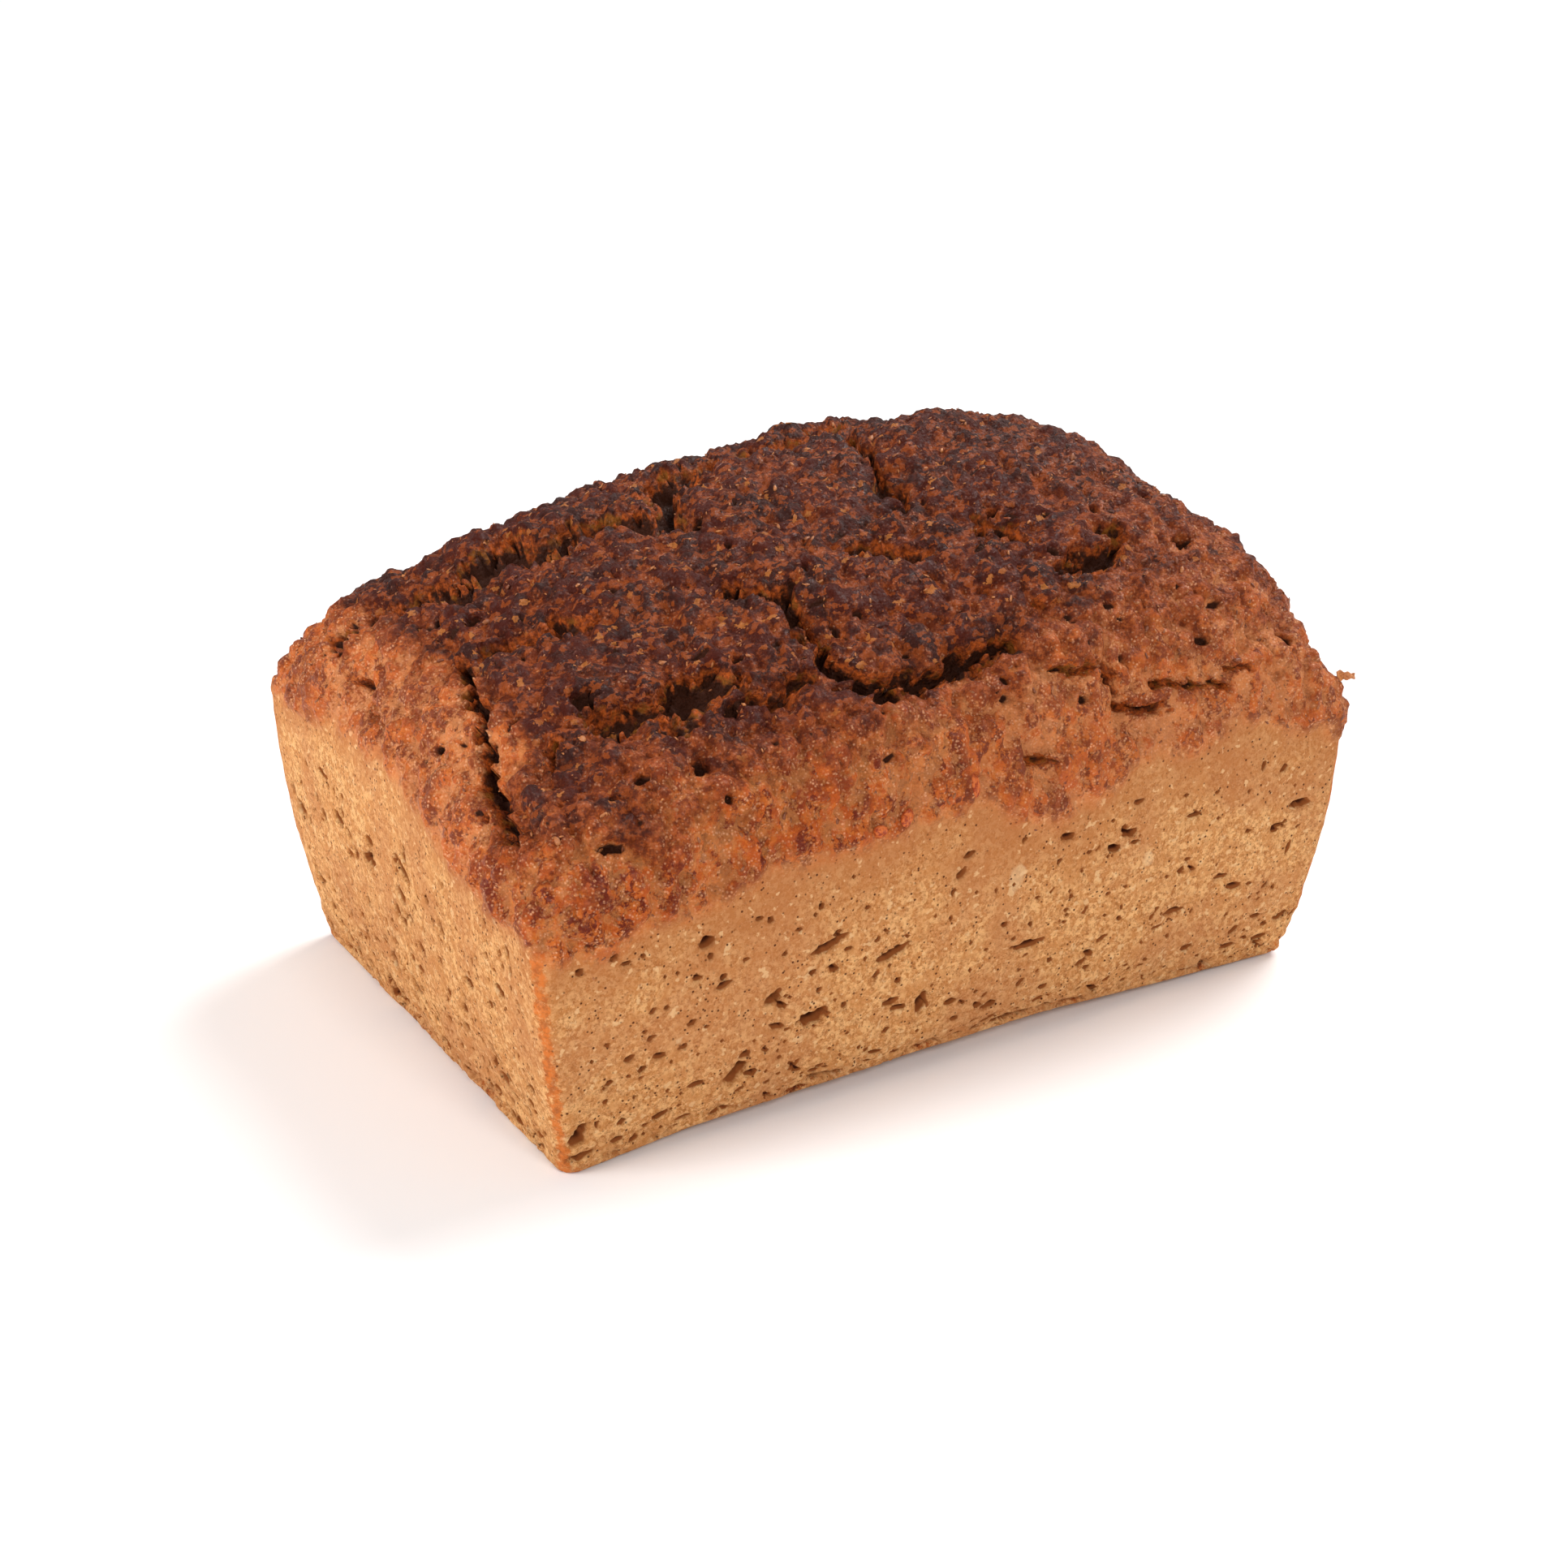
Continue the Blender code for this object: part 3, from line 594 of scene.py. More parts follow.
def starchiness(form):
    """Where the near wall has pale starchy spots, 0 to 1."""
    starch = np.zeros(len(form))
    uneven = 0.9 * wave(form, 0.0016, 26)
    for x, z, radius in metres(STARCH_SPOTS):
        gap = np.hypot(form[:, 0] - x, 0.8 * (form[:, 2] - z)) / radius + uneven
        starch = np.maximum(starch, (1 - smooth_step(gap, 0.5, 1.1)) * (form[:, 1] < 0))
    return starch


def height_above_line(form):
    """Height above the crust's lower edge, and the raggedness of that edge."""
    ragged = 0.0024 * crags(form, 0.0060, 15, 4) + 0.0016 * wave(form, 0.016, 34)
    return form[:, 2] - tin_line(form), ragged


def browning(form, above_line):
    """How far the wall browns towards the crust: narrowly on the ends, widely on the long sides."""
    on_long_side = np.abs(form[:, 1]) > 0.9 * wall_half_sizes(form[:, 2])[1]
    reach = np.where(on_long_side, BROWNING_REACHES[1], BROWNING_REACHES[0])
    return smooth_step(above_line, -reach, 0.002)


def left_end_share(form):
    """How far a point belongs to the left end, 0 to 1, away from its near corner."""
    x, y, _ = form.T
    return smooth_step(-x, 0.060, 0.074) * (1 - smooth_step(-y, 0.028, 0.042))


def charring(form):
    """How far the crust is baked: amber below the char line, burnt well above it."""
    share = left_end_share(form)
    line = read_line(CHAR_LINE, form[:, 0]) * (1 - share) + LEFT_CHAR_HEIGHT * share
    uneven = 0.0050 * wave(form, 0.014, 21) + 0.0030 * wave(form, 0.006, 22)
    reach = np.interp(form[:, 0], CHAR_REACH_PLACES, CHAR_REACHES)
    return smooth_step((form[:, 2] - line + uneven) / reach, -0.55, 0.60)


def dryness(form):
    """How pale the rim is, 0 to 1: drier, less baked crust on the left end, and painted sheen along the
    right half.
    """
    return 0.85 * np.maximum(left_end_share(form), smooth_step(form[:, 0], -0.030, 0.020))


def roughen_torn(mesh, share):
    """Crumble the walls of cracks and holes along the normals that they have by now."""
    points = read_vectors(mesh.vertices, "co")
    normals = read_vectors(mesh.vertex_normals, "vector")
    crumble = 0.00045 * wave(points, 0.0011, 24) + 0.00045 * wave(points, 0.0022, 25)
    return points + normals * (crumble * share)[:, None]


def centred_on_node(points):
    """Move the points level, so that their box has the same middle as the frame's solid."""
    middle = (points.min(axis=0) + points.max(axis=0)) / 2
    node_middle = (np.array(NODE_LOW) + np.array(NODE_HIGH)) / 2
    shift = node_middle - middle
    shift[2] = 0.0
    return points + shift


def settle_on_table(mesh):
    """Lift the near edge, keep the rest above the table and centre the loaf on the frame's solid."""
    points = lift_underside(read_vectors(mesh.vertices, "co"))
    points[:, 2] = np.maximum(points[:, 2], 0.0)
    write_points(mesh, centred_on_node(points))


def shape_loaf(mesh):
    """Give the block the loaf's form and relief, and keep what the finish needs as attributes."""
    form = fit_to_form(read_vectors(mesh.vertices, "co"))
    write_points(mesh, form)
    normals = read_vectors(mesh.vertex_normals, "vector")
    tree = point_tree(form)
    above_line, ragged = height_above_line(form)
    crust = smooth_step(above_line + ragged, -TIN_LINE_SOFTNESS, TIN_LINE_SOFTNESS)
    crust_height, high = crust_relief(form)
    crack_depth, valley, lip, torn = crack_relief(form, tree)
    hole_depth, hole = hole_relief(form, tree, all_holes())
    toast, bottom = edge_toast(form)
    wall_height, notches = wall_relief(form, bottom)
    height = wall_height * (1 - crust) + crust_height * crust
    height += (LIP_HEIGHT * lip - crack_depth - valley) * crust - hole_depth
    off_base = smooth_step(form[:, 2], 0.0, BASE_EDGE_RADIUS)
    write_points(mesh, form + normals * (height * off_base)[:, None])
    torn_depth = np.clip((crack_depth + hole_depth) / CRUMBLE_DEPTH, 0, 1)
    write_points(mesh, roughen_torn(mesh, torn_depth * off_base))
    settle_on_table(mesh)
    add_marks(mesh, crust=crust, torn=torn * crust, hole=hole, toast=toast, high=high,
              bottom=bottom * (0.4 + 0.5 * notches), dry=dryness(form), starch=starchiness(form),
              char=charring(form), under_crust=browning(form, above_line + 2 * ragged),
              deep=np.clip(crack_depth / DARK_DEPTH, 0, 1) * crust)


def read_vectors(items, name):
    flat = np.empty(len(items) * 3)
    items.foreach_get(name, flat)
    return flat.reshape(-1, 3)


def write_points(mesh, points):
    mesh.vertices.foreach_set("co", points.ravel())
    mesh.update()


def read_mark(mesh, name):
    values = np.empty(len(mesh.vertices), dtype=np.float32)
    mesh.attributes[name].data.foreach_get("value", values)
    return values


def add_marks(mesh, **marks):
    """Store each named value as a point attribute that the materials read."""
    for name, values in marks.items():
        attribute = mesh.attributes.new(name, "FLOAT", "POINT")
        attribute.data.foreach_set("value", np.asarray(values, dtype=np.float32))


def start_piece(name, add, **settings):
    """Add a primitive by its operator and name it."""
    bpy.ops.object.select_all(action="DESELECT")
    add(**settings)
    piece = bpy.context.object
    piece.name = name
    piece.data.name = name
    return piece


def settle_piece(piece):
    """Put the piece's place, turn and scale into its mesh."""
    bpy.ops.object.select_all(action="DESELECT")
    piece.select_set(True)
    bpy.context.view_layer.objects.active = piece
    bpy.ops.object.transform_apply(location=True, rotation=True, scale=True)


def apply_modifier(piece, kind, **settings):
    bpy.context.view_layer.objects.active = piece
    modifier = piece.modifiers.new(kind, kind)
    for name, value in settings.items():
        setattr(modifier, name, value)
    bpy.ops.object.modifier_apply(modifier=modifier.name)


def subdivide_along(mesh, axis, cells):
    """Cut the edges of an edit-mode mesh that run along one axis into equal cells."""
    bpy.ops.mesh.select_all(action="DESELECT")
    editing = bmesh.from_edit_mesh(mesh)
    for edge in editing.edges:
        start, end = edge.verts
        edge.select_set(abs(start.co[axis] - end.co[axis]) > 1e-5)
    bmesh.update_edit_mesh(mesh, loop_triangles=False, destructive=False)
    bpy.ops.mesh.subdivide(number_cuts=cells - 1)


def make_block():
    """A closed block of small square cells, as long and wide as the loaf's rim."""
    size = (RIM_LENGTH, RIM_WIDTH, BLOCK_HEIGHT)
    block = start_piece("rye_loaf", bpy.ops.mesh.primitive_cube_add, size=1.0,
                        location=(0, 0, BLOCK_HEIGHT / 2))
    block.scale = size
    settle_piece(block)
    cell = CELL
    bpy.ops.object.mode_set(mode="EDIT")
    bpy.ops.mesh.select_mode(type="EDGE")
    for axis in range(3):
        coarse_cells = round(np.sqrt(size[axis] / cell))
        subdivide_along(block.data, axis, coarse_cells)
        subdivide_along(block.data, axis, coarse_cells)
    bpy.ops.object.mode_set(mode="OBJECT")
    return block


class Surface:
    """The shader nodes of one material, added and joined in order."""

    def __init__(self, name):
        self.material = bpy.data.materials.new(name)
        self.material.use_nodes = True
        self.tree = self.material.node_tree
        self.shader = self.tree.nodes["Principled BSDF"]
        self.place = self.add("ShaderNodeTexCoord").outputs["Object"]

    def add(self, kind, inputs=(), **settings):
        """A new node with its settings, and its inputs joined or set by name or number."""
        node = self.tree.nodes.new(kind)
        for name, value in settings.items():
            setattr(node, name, value)
        for socket, value in dict(inputs).items():
            self.put(node.inputs[socket], value)
        return node

    def put(self, socket, value):
        """Join an output to a socket, or set the socket's own value."""
        if isinstance(value, bpy.types.NodeSocket):
            self.tree.links.new(value, socket)
        else:
            socket.default_value = value

    def set(self, name, value):
        """Join an output to one of the shader's own sockets, or set its value."""
        self.put(self.shader.inputs[name], value)

    def noise(self, size, detail=2.0, roughness=0.5):
        inputs = {"Vector": self.place, "Scale": 1 / size, "Detail": detail, "Roughness": roughness}
        return self.add("ShaderNodeTexNoise", inputs).outputs["Fac"]

    def cells(self, size):
        """Distance from the middle of the nearest of many packed cells."""
        inputs = {"Vector": self.place, "Scale": 1 / size}
        return self.add("ShaderNodeTexVoronoi", inputs).outputs["Distance"]

    def grains(self, size, stretch=(1.0, 1.0, 1.0)):
        """One random number for each of many grains with uneven edges, stretched along the axes."""
        push = self.add("ShaderNodeTexNoise", {"Vector": self.place, "Scale": 1.6 / size})
        stretched = self.add("ShaderNodeVectorMath", {0: self.place, 1: stretch}, operation="DIVIDE")
        amount = (1.1 * size, 1.1 * size, 1.1 * size)
        inputs = {0: push.outputs["Color"], 1: amount, 2: stretched.outputs["Vector"]}
        pushed = self.add("ShaderNodeVectorMath", inputs, operation="MULTIPLY_ADD")
        inputs = {"Vector": pushed.outputs["Vector"], "Scale": 1 / size}
        return self.add("ShaderNodeTexVoronoi", inputs).outputs["Color"]

    def mark(self, name):
        return self.add("ShaderNodeAttribute", attribute_name=name).outputs["Fac"]

    def step(self, value, low, high, bottom=0.0, top=1.0):
        """A value that goes smoothly from bottom to top while another goes from low to high."""
        inputs = {"Value": value, "From Min": low, "From Max": high, "To Min": bottom, "To Max": top}
        return self.add("ShaderNodeMapRange", inputs, interpolation_type="SMOOTHSTEP").outputs["Result"]

    def math(self, operation, first, second, clamp=False):
        inputs = {0: first, 1: second}
        node = self.add("ShaderNodeMath", inputs, operation=operation, use_clamp=clamp)
        return node.outputs["Value"]

    def mix(self, share, first, second):
        """A number between two others."""
        inputs = {0: share, 2: first, 3: second}
        return self.add("ShaderNodeMix", inputs, data_type="FLOAT").outputs[0]

    def blend(self, share, first, second):
        """A colour between two others."""
        inputs = {0: share, 6: first, 7: second}
        return self.add("ShaderNodeMix", inputs, data_type="RGBA").outputs[2]

    def layer(self, base, colour, value, low, high, top=1.0):
        """The base with a colour laid over it where the value rises from low to high."""
        return self.blend(self.step(value, low, high, 0.0, top), base, colour)

    def broken_up(self, value, size, detail, roughness, low, high):
        """A value pushed up and down by noise, so that its edge frays."""
        push = self.step(self.noise(size, detail, roughness), 0.3, 0.7, low, high)
        return self.math("ADD", value, push)

    def bump(self, height, distance, strength=1.0):
        inputs = {"Height": height, "Distance": distance, "Strength": strength}
        return self.add("ShaderNodeBump", inputs).outputs["Normal"]


def wall_colour(nodes, colours):
    """Matte tan of the tin walls, with fine grain, browned edges, and painted shade in the holes and as
    tiny dark pit dots.
    """
    base = wall_grain(nodes, colours)
    mottle = nodes.noise(0.0034, 4.0, 0.65)
    base = nodes.layer(base, colours.wall_ochre, mottle, 0.46, 0.66, 0.55)
    cloud = nodes.noise(0.016, 3.0, 0.5)
    base = nodes.layer(base, colours.wall_toasted, cloud, 0.42, 0.66, 0.45)
    under = nodes.math("MULTIPLY", nodes.mark("under_crust"), 0.68)
    base = nodes.blend(under, base, colours.wall_brown)
    pale = nodes.noise(0.0015, 2.0, 0.5)
    base = nodes.layer(base, colours.wall_pale, pale, 0.62, 0.69, 0.65)
    base = nodes.layer(base, colours.starch, nodes.mark("starch"), 0.35, 0.65, 0.4)
    # Painted shade: tiny dark dots for small pits, here and there
    painted_pit_dots = nodes.step(nodes.cells(0.00105), 0.15, 0.25, 0.95, 0.0)
    sparse = nodes.step(nodes.noise(0.0026, 2.0, 0.5), 0.43, 0.58)
    base = nodes.blend(nodes.math("MULTIPLY", painted_pit_dots, sparse), base, colours.hole_shade)
    edge_mix = nodes.step(nodes.noise(0.0014, 5.0, 0.75), 0.44, 0.60)
    edge = nodes.blend(edge_mix, colours.wall_edge, colours.edge_brown)
    foot = nodes.blend(edge_mix, colours.edge_brown, colours.edge_dark)
    toast = nodes.broken_up(nodes.mark("toast"), 0.0013, 4.0, 0.7, -0.45, 0.3)
    base = nodes.layer(base, edge, toast, 0.25, 0.85, 0.85)
    bottom = nodes.broken_up(nodes.mark("bottom"), 0.0013, 4.0, 0.7, -0.45, 0.3)
    base = nodes.layer(base, foot, bottom, 0.40, 0.90)
    # Painted shade in the holes: half-shade on their sloping sides, darker at their bottom
    base = nodes.layer(base, colours.hole_edge_shade, nodes.mark("hole"), 0.09, 0.30)
    return nodes.layer(base, colours.hole_shade, nodes.mark("hole"), 0.45, 0.90)


def wall_grain(nodes, colours):
    """Light crumbs with darker gaps, each crumb of its own lightness."""
    base = nodes.layer(colours.wall_light, colours.wall_ochre, nodes.grains(0.0009), 0.34, 0.62)
    gaps = nodes.noise(0.0008, 6.0, 0.8)
    base = nodes.layer(base, colours.wall_shade, gaps, 0.44, 0.62, 0.85)
    fine = nodes.noise(0.00045, 4.0, 0.7)
    return nodes.layer(base, colours.wall_light, fine, 0.46, 0.60, 0.55)


def dry_tips(nodes, low, high, amount):
    """Painted glints: pale specks on the tips of the fine crumbs of the crust, in drifts."""
    tips = nodes.step(nodes.cells(0.00062), 0.12, 0.46, amount, 0.0)
    drifts = nodes.step(nodes.noise(0.0019, 5.0, 0.7), low, high)
    return nodes.math("MULTIPLY", tips, drifts)


def between_lumps(nodes, size, detail, share):
    """Noise that is higher between the lumps of the crust than on them."""
    lumps_share = nodes.math("MULTIPLY", nodes.mark("high"), share)
    return nodes.math("SUBTRACT", nodes.noise(size, detail, 0.75), lumps_share)


def rim_colour(nodes, colours):
    """Amber and red lumps of the rim with tan between them, paler where the crust is dry and where sheen is
    painted, with painted glints on the crumbs' tips.
    """
    lump = nodes.grains(0.0017, (1.0, 1.0, 1.7))
    colour = nodes.layer(colours.rim_red, colours.rim_amber, lump, 0.36, 0.58)
    fine = nodes.noise(0.0014, 5.0, 0.75)
    colour = nodes.layer(colour, colours.rim_orange, fine, 0.47, 0.58, 0.80)
    patch = nodes.noise(0.0060, 4.0, 0.65)
    colour = nodes.layer(colour, colours.rim_red, patch, 0.46, 0.60, 0.75)
    low = nodes.step(between_lumps(nodes, 0.0015, 5.0, 0.55), 0.20, 0.36)
    colour = nodes.blend(nodes.math("MULTIPLY", low, 0.48), colour, colours.rim_tan)
    # Paler crust: dry on the left end, painted sheen along the right half, most between the lumps
    dry = nodes.math("MULTIPLY", nodes.mark("dry"), nodes.mix(low, 0.12, 0.55))
    colour = nodes.blend(dry, colour, colours.rim_dry)
    return nodes.blend(dry_tips(nodes, 0.38, 0.60, 0.72), colour, colours.rim_glint)


def crown_colour(nodes, colours):
    """Burnt purple-brown plates, warm brown between them, with orange flecks and dull painted glints."""
    plate = nodes.noise(0.0075, 6.0, 0.65)
    colour = nodes.layer(colours.crown_dark, colours.crown_burnt, plate, 0.46, 0.58)
    low = between_lumps(nodes, 0.0022, 6.0, 0.45)
    colour = nodes.layer(colour, warm_colour(nodes, colours), low, 0.26, 0.46, 0.8)
    grain = nodes.grains(0.0009, (1.6, 1.0, 1.0))
    colour = nodes.layer(colour, colours.crown_orange, grain, 0.68, 0.76, 0.55)
    colour = nodes.layer(colour, colours.crust_speck, grain, 0.88, 0.92, 0.5)
    return nodes.blend(dry_tips(nodes, 0.46, 0.64, 0.45), colour, colours.crown_glint)


def warm_colour(nodes, colours):
    """Red-brown crust with finer orange in it and painted glints, between the rim and the burnt crown."""
    fine = nodes.noise(0.0012, 5.0, 0.75)
    warm = nodes.layer(colours.crown_brown, colours.crown_orange, fine, 0.44, 0.60)
    return nodes.blend(dry_tips(nodes, 0.44, 0.62, 0.55), warm, colours.rim_glint)


def torn_colour(nodes, colours):
    """Orange and brown shreds of the torn crust."""
    shreds = nodes.noise(0.0010, 5.0, 0.7)
    return nodes.layer(colours.torn_orange, colours.torn_brown, shreds, 0.40, 0.60)


def crust_colour(nodes, colours):
    """Amber at the rim to dark brown on the crown, torn orange beside the cracks, and painted shade deep in
    the cracks and in the holes.
    """
    baked = nodes.broken_up(nodes.mark("char"), 0.0040, 5.0, 0.65, -0.25, 0.25)
    rim = rim_colour(nodes, colours)
    colour = nodes.layer(rim, warm_colour(nodes, colours), baked, 0.05, 0.60)
    colour = nodes.layer(colour, crown_colour(nodes, colours), baked, 0.35, 0.85)
    shreds = torn_colour(nodes, colours)
    torn = nodes.broken_up(nodes.mark("torn"), 0.0018, 5.0, 0.7, -0.45, 0.3)
    colour = nodes.layer(colour, shreds, torn, 0.35, 0.80, 0.9)
    crumb = nodes.layer(shreds, colours.crumb_olive, nodes.noise(0.0030, 4.0, 0.6), 0.50, 0.62)
    colour = nodes.layer(colour, crumb, nodes.mark("deep"), 0.12, 0.35)
    # Painted shade deep in the cracks, and in the crown's holes below
    shaded_pockets = nodes.broken_up(nodes.mark("deep"), 0.0026, 4.0, 0.6, -0.3, 0.3)
    colour = nodes.layer(colour, colours.deep_shade, shaded_pockets, 0.36, 0.75)
    return nodes.layer(colour, colours.deep_shade, nodes.mark("hole"), 0.3, 0.8)


def loaf_material(colours):
    """Matte tin wall and glossier crust in one material, told apart by the crust mark."""
    nodes = Surface("Rye crust and tin wall")
    crust = nodes.mark("crust")
    wall = wall_colour(nodes, colours)
    nodes.set("Base Color", nodes.blend(crust, wall, crust_colour(nodes, colours)))
    crust_rough = nodes.step(nodes.noise(0.0016, 3.0, 0.6), 0.35, 0.65, 0.42, 0.68)
    nodes.set("Roughness", nodes.mix(crust, 0.88, crust_rough))
    nodes.set("Specular IOR Level", 0.14)
    nodes.set("Coat Roughness", 0.16)
    opened = nodes.math("ADD", nodes.mark("deep"), nodes.mark("hole"))
    solid_crust = nodes.math("SUBTRACT", crust, opened, clamp=True)
    shine = nodes.step(nodes.noise(0.0012, 4.0, 0.6), 0.50, 0.64, 0.0, 0.28)
    nodes.set("Coat Weight", nodes.math("MULTIPLY", solid_crust, shine))
    wall_height = nodes.math("MULTIPLY", nodes.noise(0.0008, 6.0, 0.8), -0.75)
    tips = nodes.math("MULTIPLY", nodes.cells(0.00058), -0.6)
    crust_height = nodes.math("ADD", nodes.noise(0.0012, 6.0, 0.75), tips)
    nodes.set("Normal", nodes.bump(nodes.mix(crust, wall_height, crust_height), 0.0006))
    nodes.set("Coat Normal", nodes.bump(nodes.noise(0.0007, 3.0, 0.6), 0.0007))
    return nodes.material


def fleck_material(colours):
    """Dry bran: pale gold to brown, each fleck its own tone."""
    nodes = Surface("Bran flecks")
    colour = nodes.blend(nodes.mark("tint"), colours.bran_pale, colours.bran_brown)
    streak = nodes.noise(0.0003, 2.0, 0.5)
    nodes.set("Base Color", nodes.layer(colour, colours.crown_brown, streak, 0.4, 0.6, 0.4))
    nodes.set("Roughness", 0.5)
    nodes.set("Normal", nodes.bump(nodes.noise(0.0003), 0.0002, 0.6))
    return nodes.material


def kernel_material(colours):
    """Glossy reddish bran coat of whole kernels, mottled with amber."""
    nodes = Surface("Kernel bran")
    mottle = nodes.noise(0.0006, 3.0, 0.6)
    nodes.set("Base Color", nodes.layer(colours.kernel_red, colours.kernel_amber, mottle, 0.38, 0.62))
    nodes.set("Roughness", 0.38)
    nodes.set("Specular IOR Level", 0.2)
    nodes.set("Normal", nodes.bump(nodes.noise(0.0004), 0.0003, 0.7))
    return nodes.material


def surface_samples(loaf, count, seed, weigh):
    """Seeded places on the loaf's finished surface, as points and outward normals."""
    mesh = loaf.data
    mesh.calc_loop_triangles()
    corners = np.empty(len(mesh.loop_triangles) * 3, dtype=np.int64)
    mesh.loop_triangles.foreach_get("vertices", corners)
    corners = corners.reshape(-1, 3)
    points = read_vectors(mesh.vertices, "co")
    first, second, third = (points[corners[:, number]] for number in range(3))
    normals = np.cross(second - first, third - first)
    areas = np.linalg.norm(normals, axis=1)
    middles = (first + second + third) / 3
    weights = areas * weigh(middles, corners)
    draw = np.random.default_rng(seed)
    chosen = draw.choice(len(corners), size=count, p=weights / weights.sum())
    mix = draw.dirichlet((1, 1, 1), size=count)
    spots = mix[:, :1] * first[chosen] + mix[:, 1:2] * second[chosen] + mix[:, 2:] * third[chosen]
    return spots, normals[chosen] / areas[chosen][:, None], draw


def turned_frames(normals, draw):
    """Three axes for each bit: two along the surface, turned at random, and one out of it."""
    out = normals + BIT_TILT * draw.normal(size=normals.shape)
    out /= np.linalg.norm(out, axis=1)[:, None]
    side = np.cross(out, draw.normal(size=normals.shape))
    side /= np.linalg.norm(side, axis=1)[:, None]
    return np.stack([side, np.cross(out, side), out], axis=1)


def scatter(name, model, spots, frames, sizes, draw):
    """One piece of many copies of a small model, each at its own spot, turn and size."""
    shape = read_vectors(model.data.vertices, "co")
    faces = np.array([polygon.vertices[:] for polygon in model.data.polygons])
    placed = np.einsum("vk,nk,nkx->nvx", shape, sizes, frames) + spots[:, None, :]
    placed += BIT_ROUGHNESS * sizes.mean() * draw.normal(size=placed.shape)
    counts = len(spots), len(shape)
    numbers = faces[None, :, :] + (np.arange(counts[0]) * counts[1])[:, None, None]
    mesh = bpy.data.meshes.new(name)
    corners = numbers.reshape(-1, faces.shape[1])
    mesh.from_pydata(placed.reshape(-1, 3).tolist(), [], corners.tolist())
    mesh.update()
    add_marks(mesh, tint=np.repeat(draw.uniform(size=counts[0]), counts[1]))
    piece = bpy.data.objects.new(name, mesh)
    bpy.context.scene.collection.objects.link(piece)
    bpy.data.objects.remove(model, do_unlink=True)
    mesh.shade_smooth()
    return piece


def finish_piece(piece, material, replaced=()):
    """Give the piece its material, its body and the nodes that it stands for."""
    piece.data.materials.clear()
    piece.data.materials.append(material)
    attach(piece, "root")
    for node in replaced:
        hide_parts(node)


def nearest_on_loaf(place):
    """The closest point of the finished loaf, and its normal."""
    found, point, normal, _ = bpy.data.objects["rye_loaf"].closest_point_on_mesh(Vector(place))
    if not found:
        raise RuntimeError("no surface near this place")
    return point, normal


def make_kernel(place, size, turn):
    """A plump creased grain of the given length, width and thickness, half sunk in the crust."""
    point, normal = nearest_on_loaf(place)
    kernel = start_piece("kernels", bpy.ops.mesh.primitive_uv_sphere_add, segments=24, ring_count=16,
                         radius=0.5)
    points = read_vectors(kernel.data.vertices, "co")
    points[:, 1] *= 1 - 0.35 * points[:, 0]
    points[:, 2] -= 0.10 * np.exp(-(points[:, 1] / 0.10) ** 2) * (points[:, 2] > 0)
    points += 0.03 * wave(points, 0.4, 31)[:, None] * points
    write_points(kernel.data, points)
    kernel.scale = size
    turned = normal.to_track_quat("Z", "Y") @ Quaternion((0, 0, 1), radians(turn))
    kernel.rotation_euler = turned.to_euler()
    kernel.location = point
    settle_piece(kernel)
    kernel.data.shade_smooth()
    return kernel


def make_flake():
    """The thin curled flake that stands off the right end of the rim."""
    flake = start_piece("edge_flake", bpy.ops.mesh.primitive_grid_add, x_subdivisions=14, y_subdivisions=6,
                        size=1.0)
    points = read_vectors(flake.data.vertices, "co")
    x, y = points[:, 0].copy(), points[:, 1].copy()
    points[:, 1] = y * (1 - 0.55 * (x + 0.5)) * (1 + 0.25 * np.sin(17 * x))
    points[:, 2] = 0.35 * x * x + 0.12 * np.sin(9 * x + 4 * y)
    write_points(flake.data, points * FLAKE_SIZE)
    point, _ = nearest_on_loaf(FLAKE_PLACE)
    flake.location = point + FLAKE_OFFSET
    flake.rotation_euler = FLAKE_TURN
    settle_piece(flake)
    apply_modifier(flake, "SOLIDIFY", thickness=FLAKE_THICKNESS, offset=0.0)
    apply_modifier(flake, "SUBSURF", levels=1, render_levels=1)
    flake.data.shade_smooth()
    return flake


def add_area_light(name, place, target, size, power):
    """A square soft light that faces its target."""
    light = bpy.data.lights.new(name, "AREA")
    light.shape = "SQUARE"
    light.size = size
    light.energy = power
    lamp = bpy.data.objects.new(name, light)
    lamp.location = place
    lamp.rotation_euler = (Vector(target) - Vector(place)).to_track_quat("-Z", "Y").to_euler()
    bpy.context.scene.collection.objects.link(lamp)


def add_soft_sun(name, direction, angle, strength):
    """A broad light from far off in the given direction."""
    light = bpy.data.lights.new(name, "SUN")
    light.angle = angle
    light.energy = strength
    lamp = bpy.data.objects.new(name, light)
    lamp.rotation_euler = Vector(direction).to_track_quat("Z", "Y").to_euler()
    bpy.context.scene.collection.objects.link(lamp)


def add_camera():
    """A camera that sees the loaf from the photograph's side."""
    camera = bpy.data.cameras.new("camera")
    camera.sensor_width = SENSOR_WIDTH
    camera.lens = LENS
    camera.clip_start = 0.01
    eye = bpy.data.objects.new("camera", camera)
    flat = np.cos(CAMERA_ELEVATION)
    back = Vector((np.sin(CAMERA_AZIMUTH) * flat, -np.cos(CAMERA_AZIMUTH) * flat, np.sin(CAMERA_ELEVATION)))
    eye.location = CAMERA_AIM + back * CAMERA_DISTANCE
    eye.rotation_euler = (-back).to_track_quat("-Z", "Y").to_euler()
    bpy.context.scene.collection.objects.link(eye)
    bpy.context.scene.camera = eye


def colour_property(name, description, *seen):
    """A colour setting whose default is given as the eight-bit values seen on screen."""
    return FloatVectorProperty(name=name, description=description, subtype="COLOR", size=4, min=0.0,
                               max=1.0, default=tone(*seen))


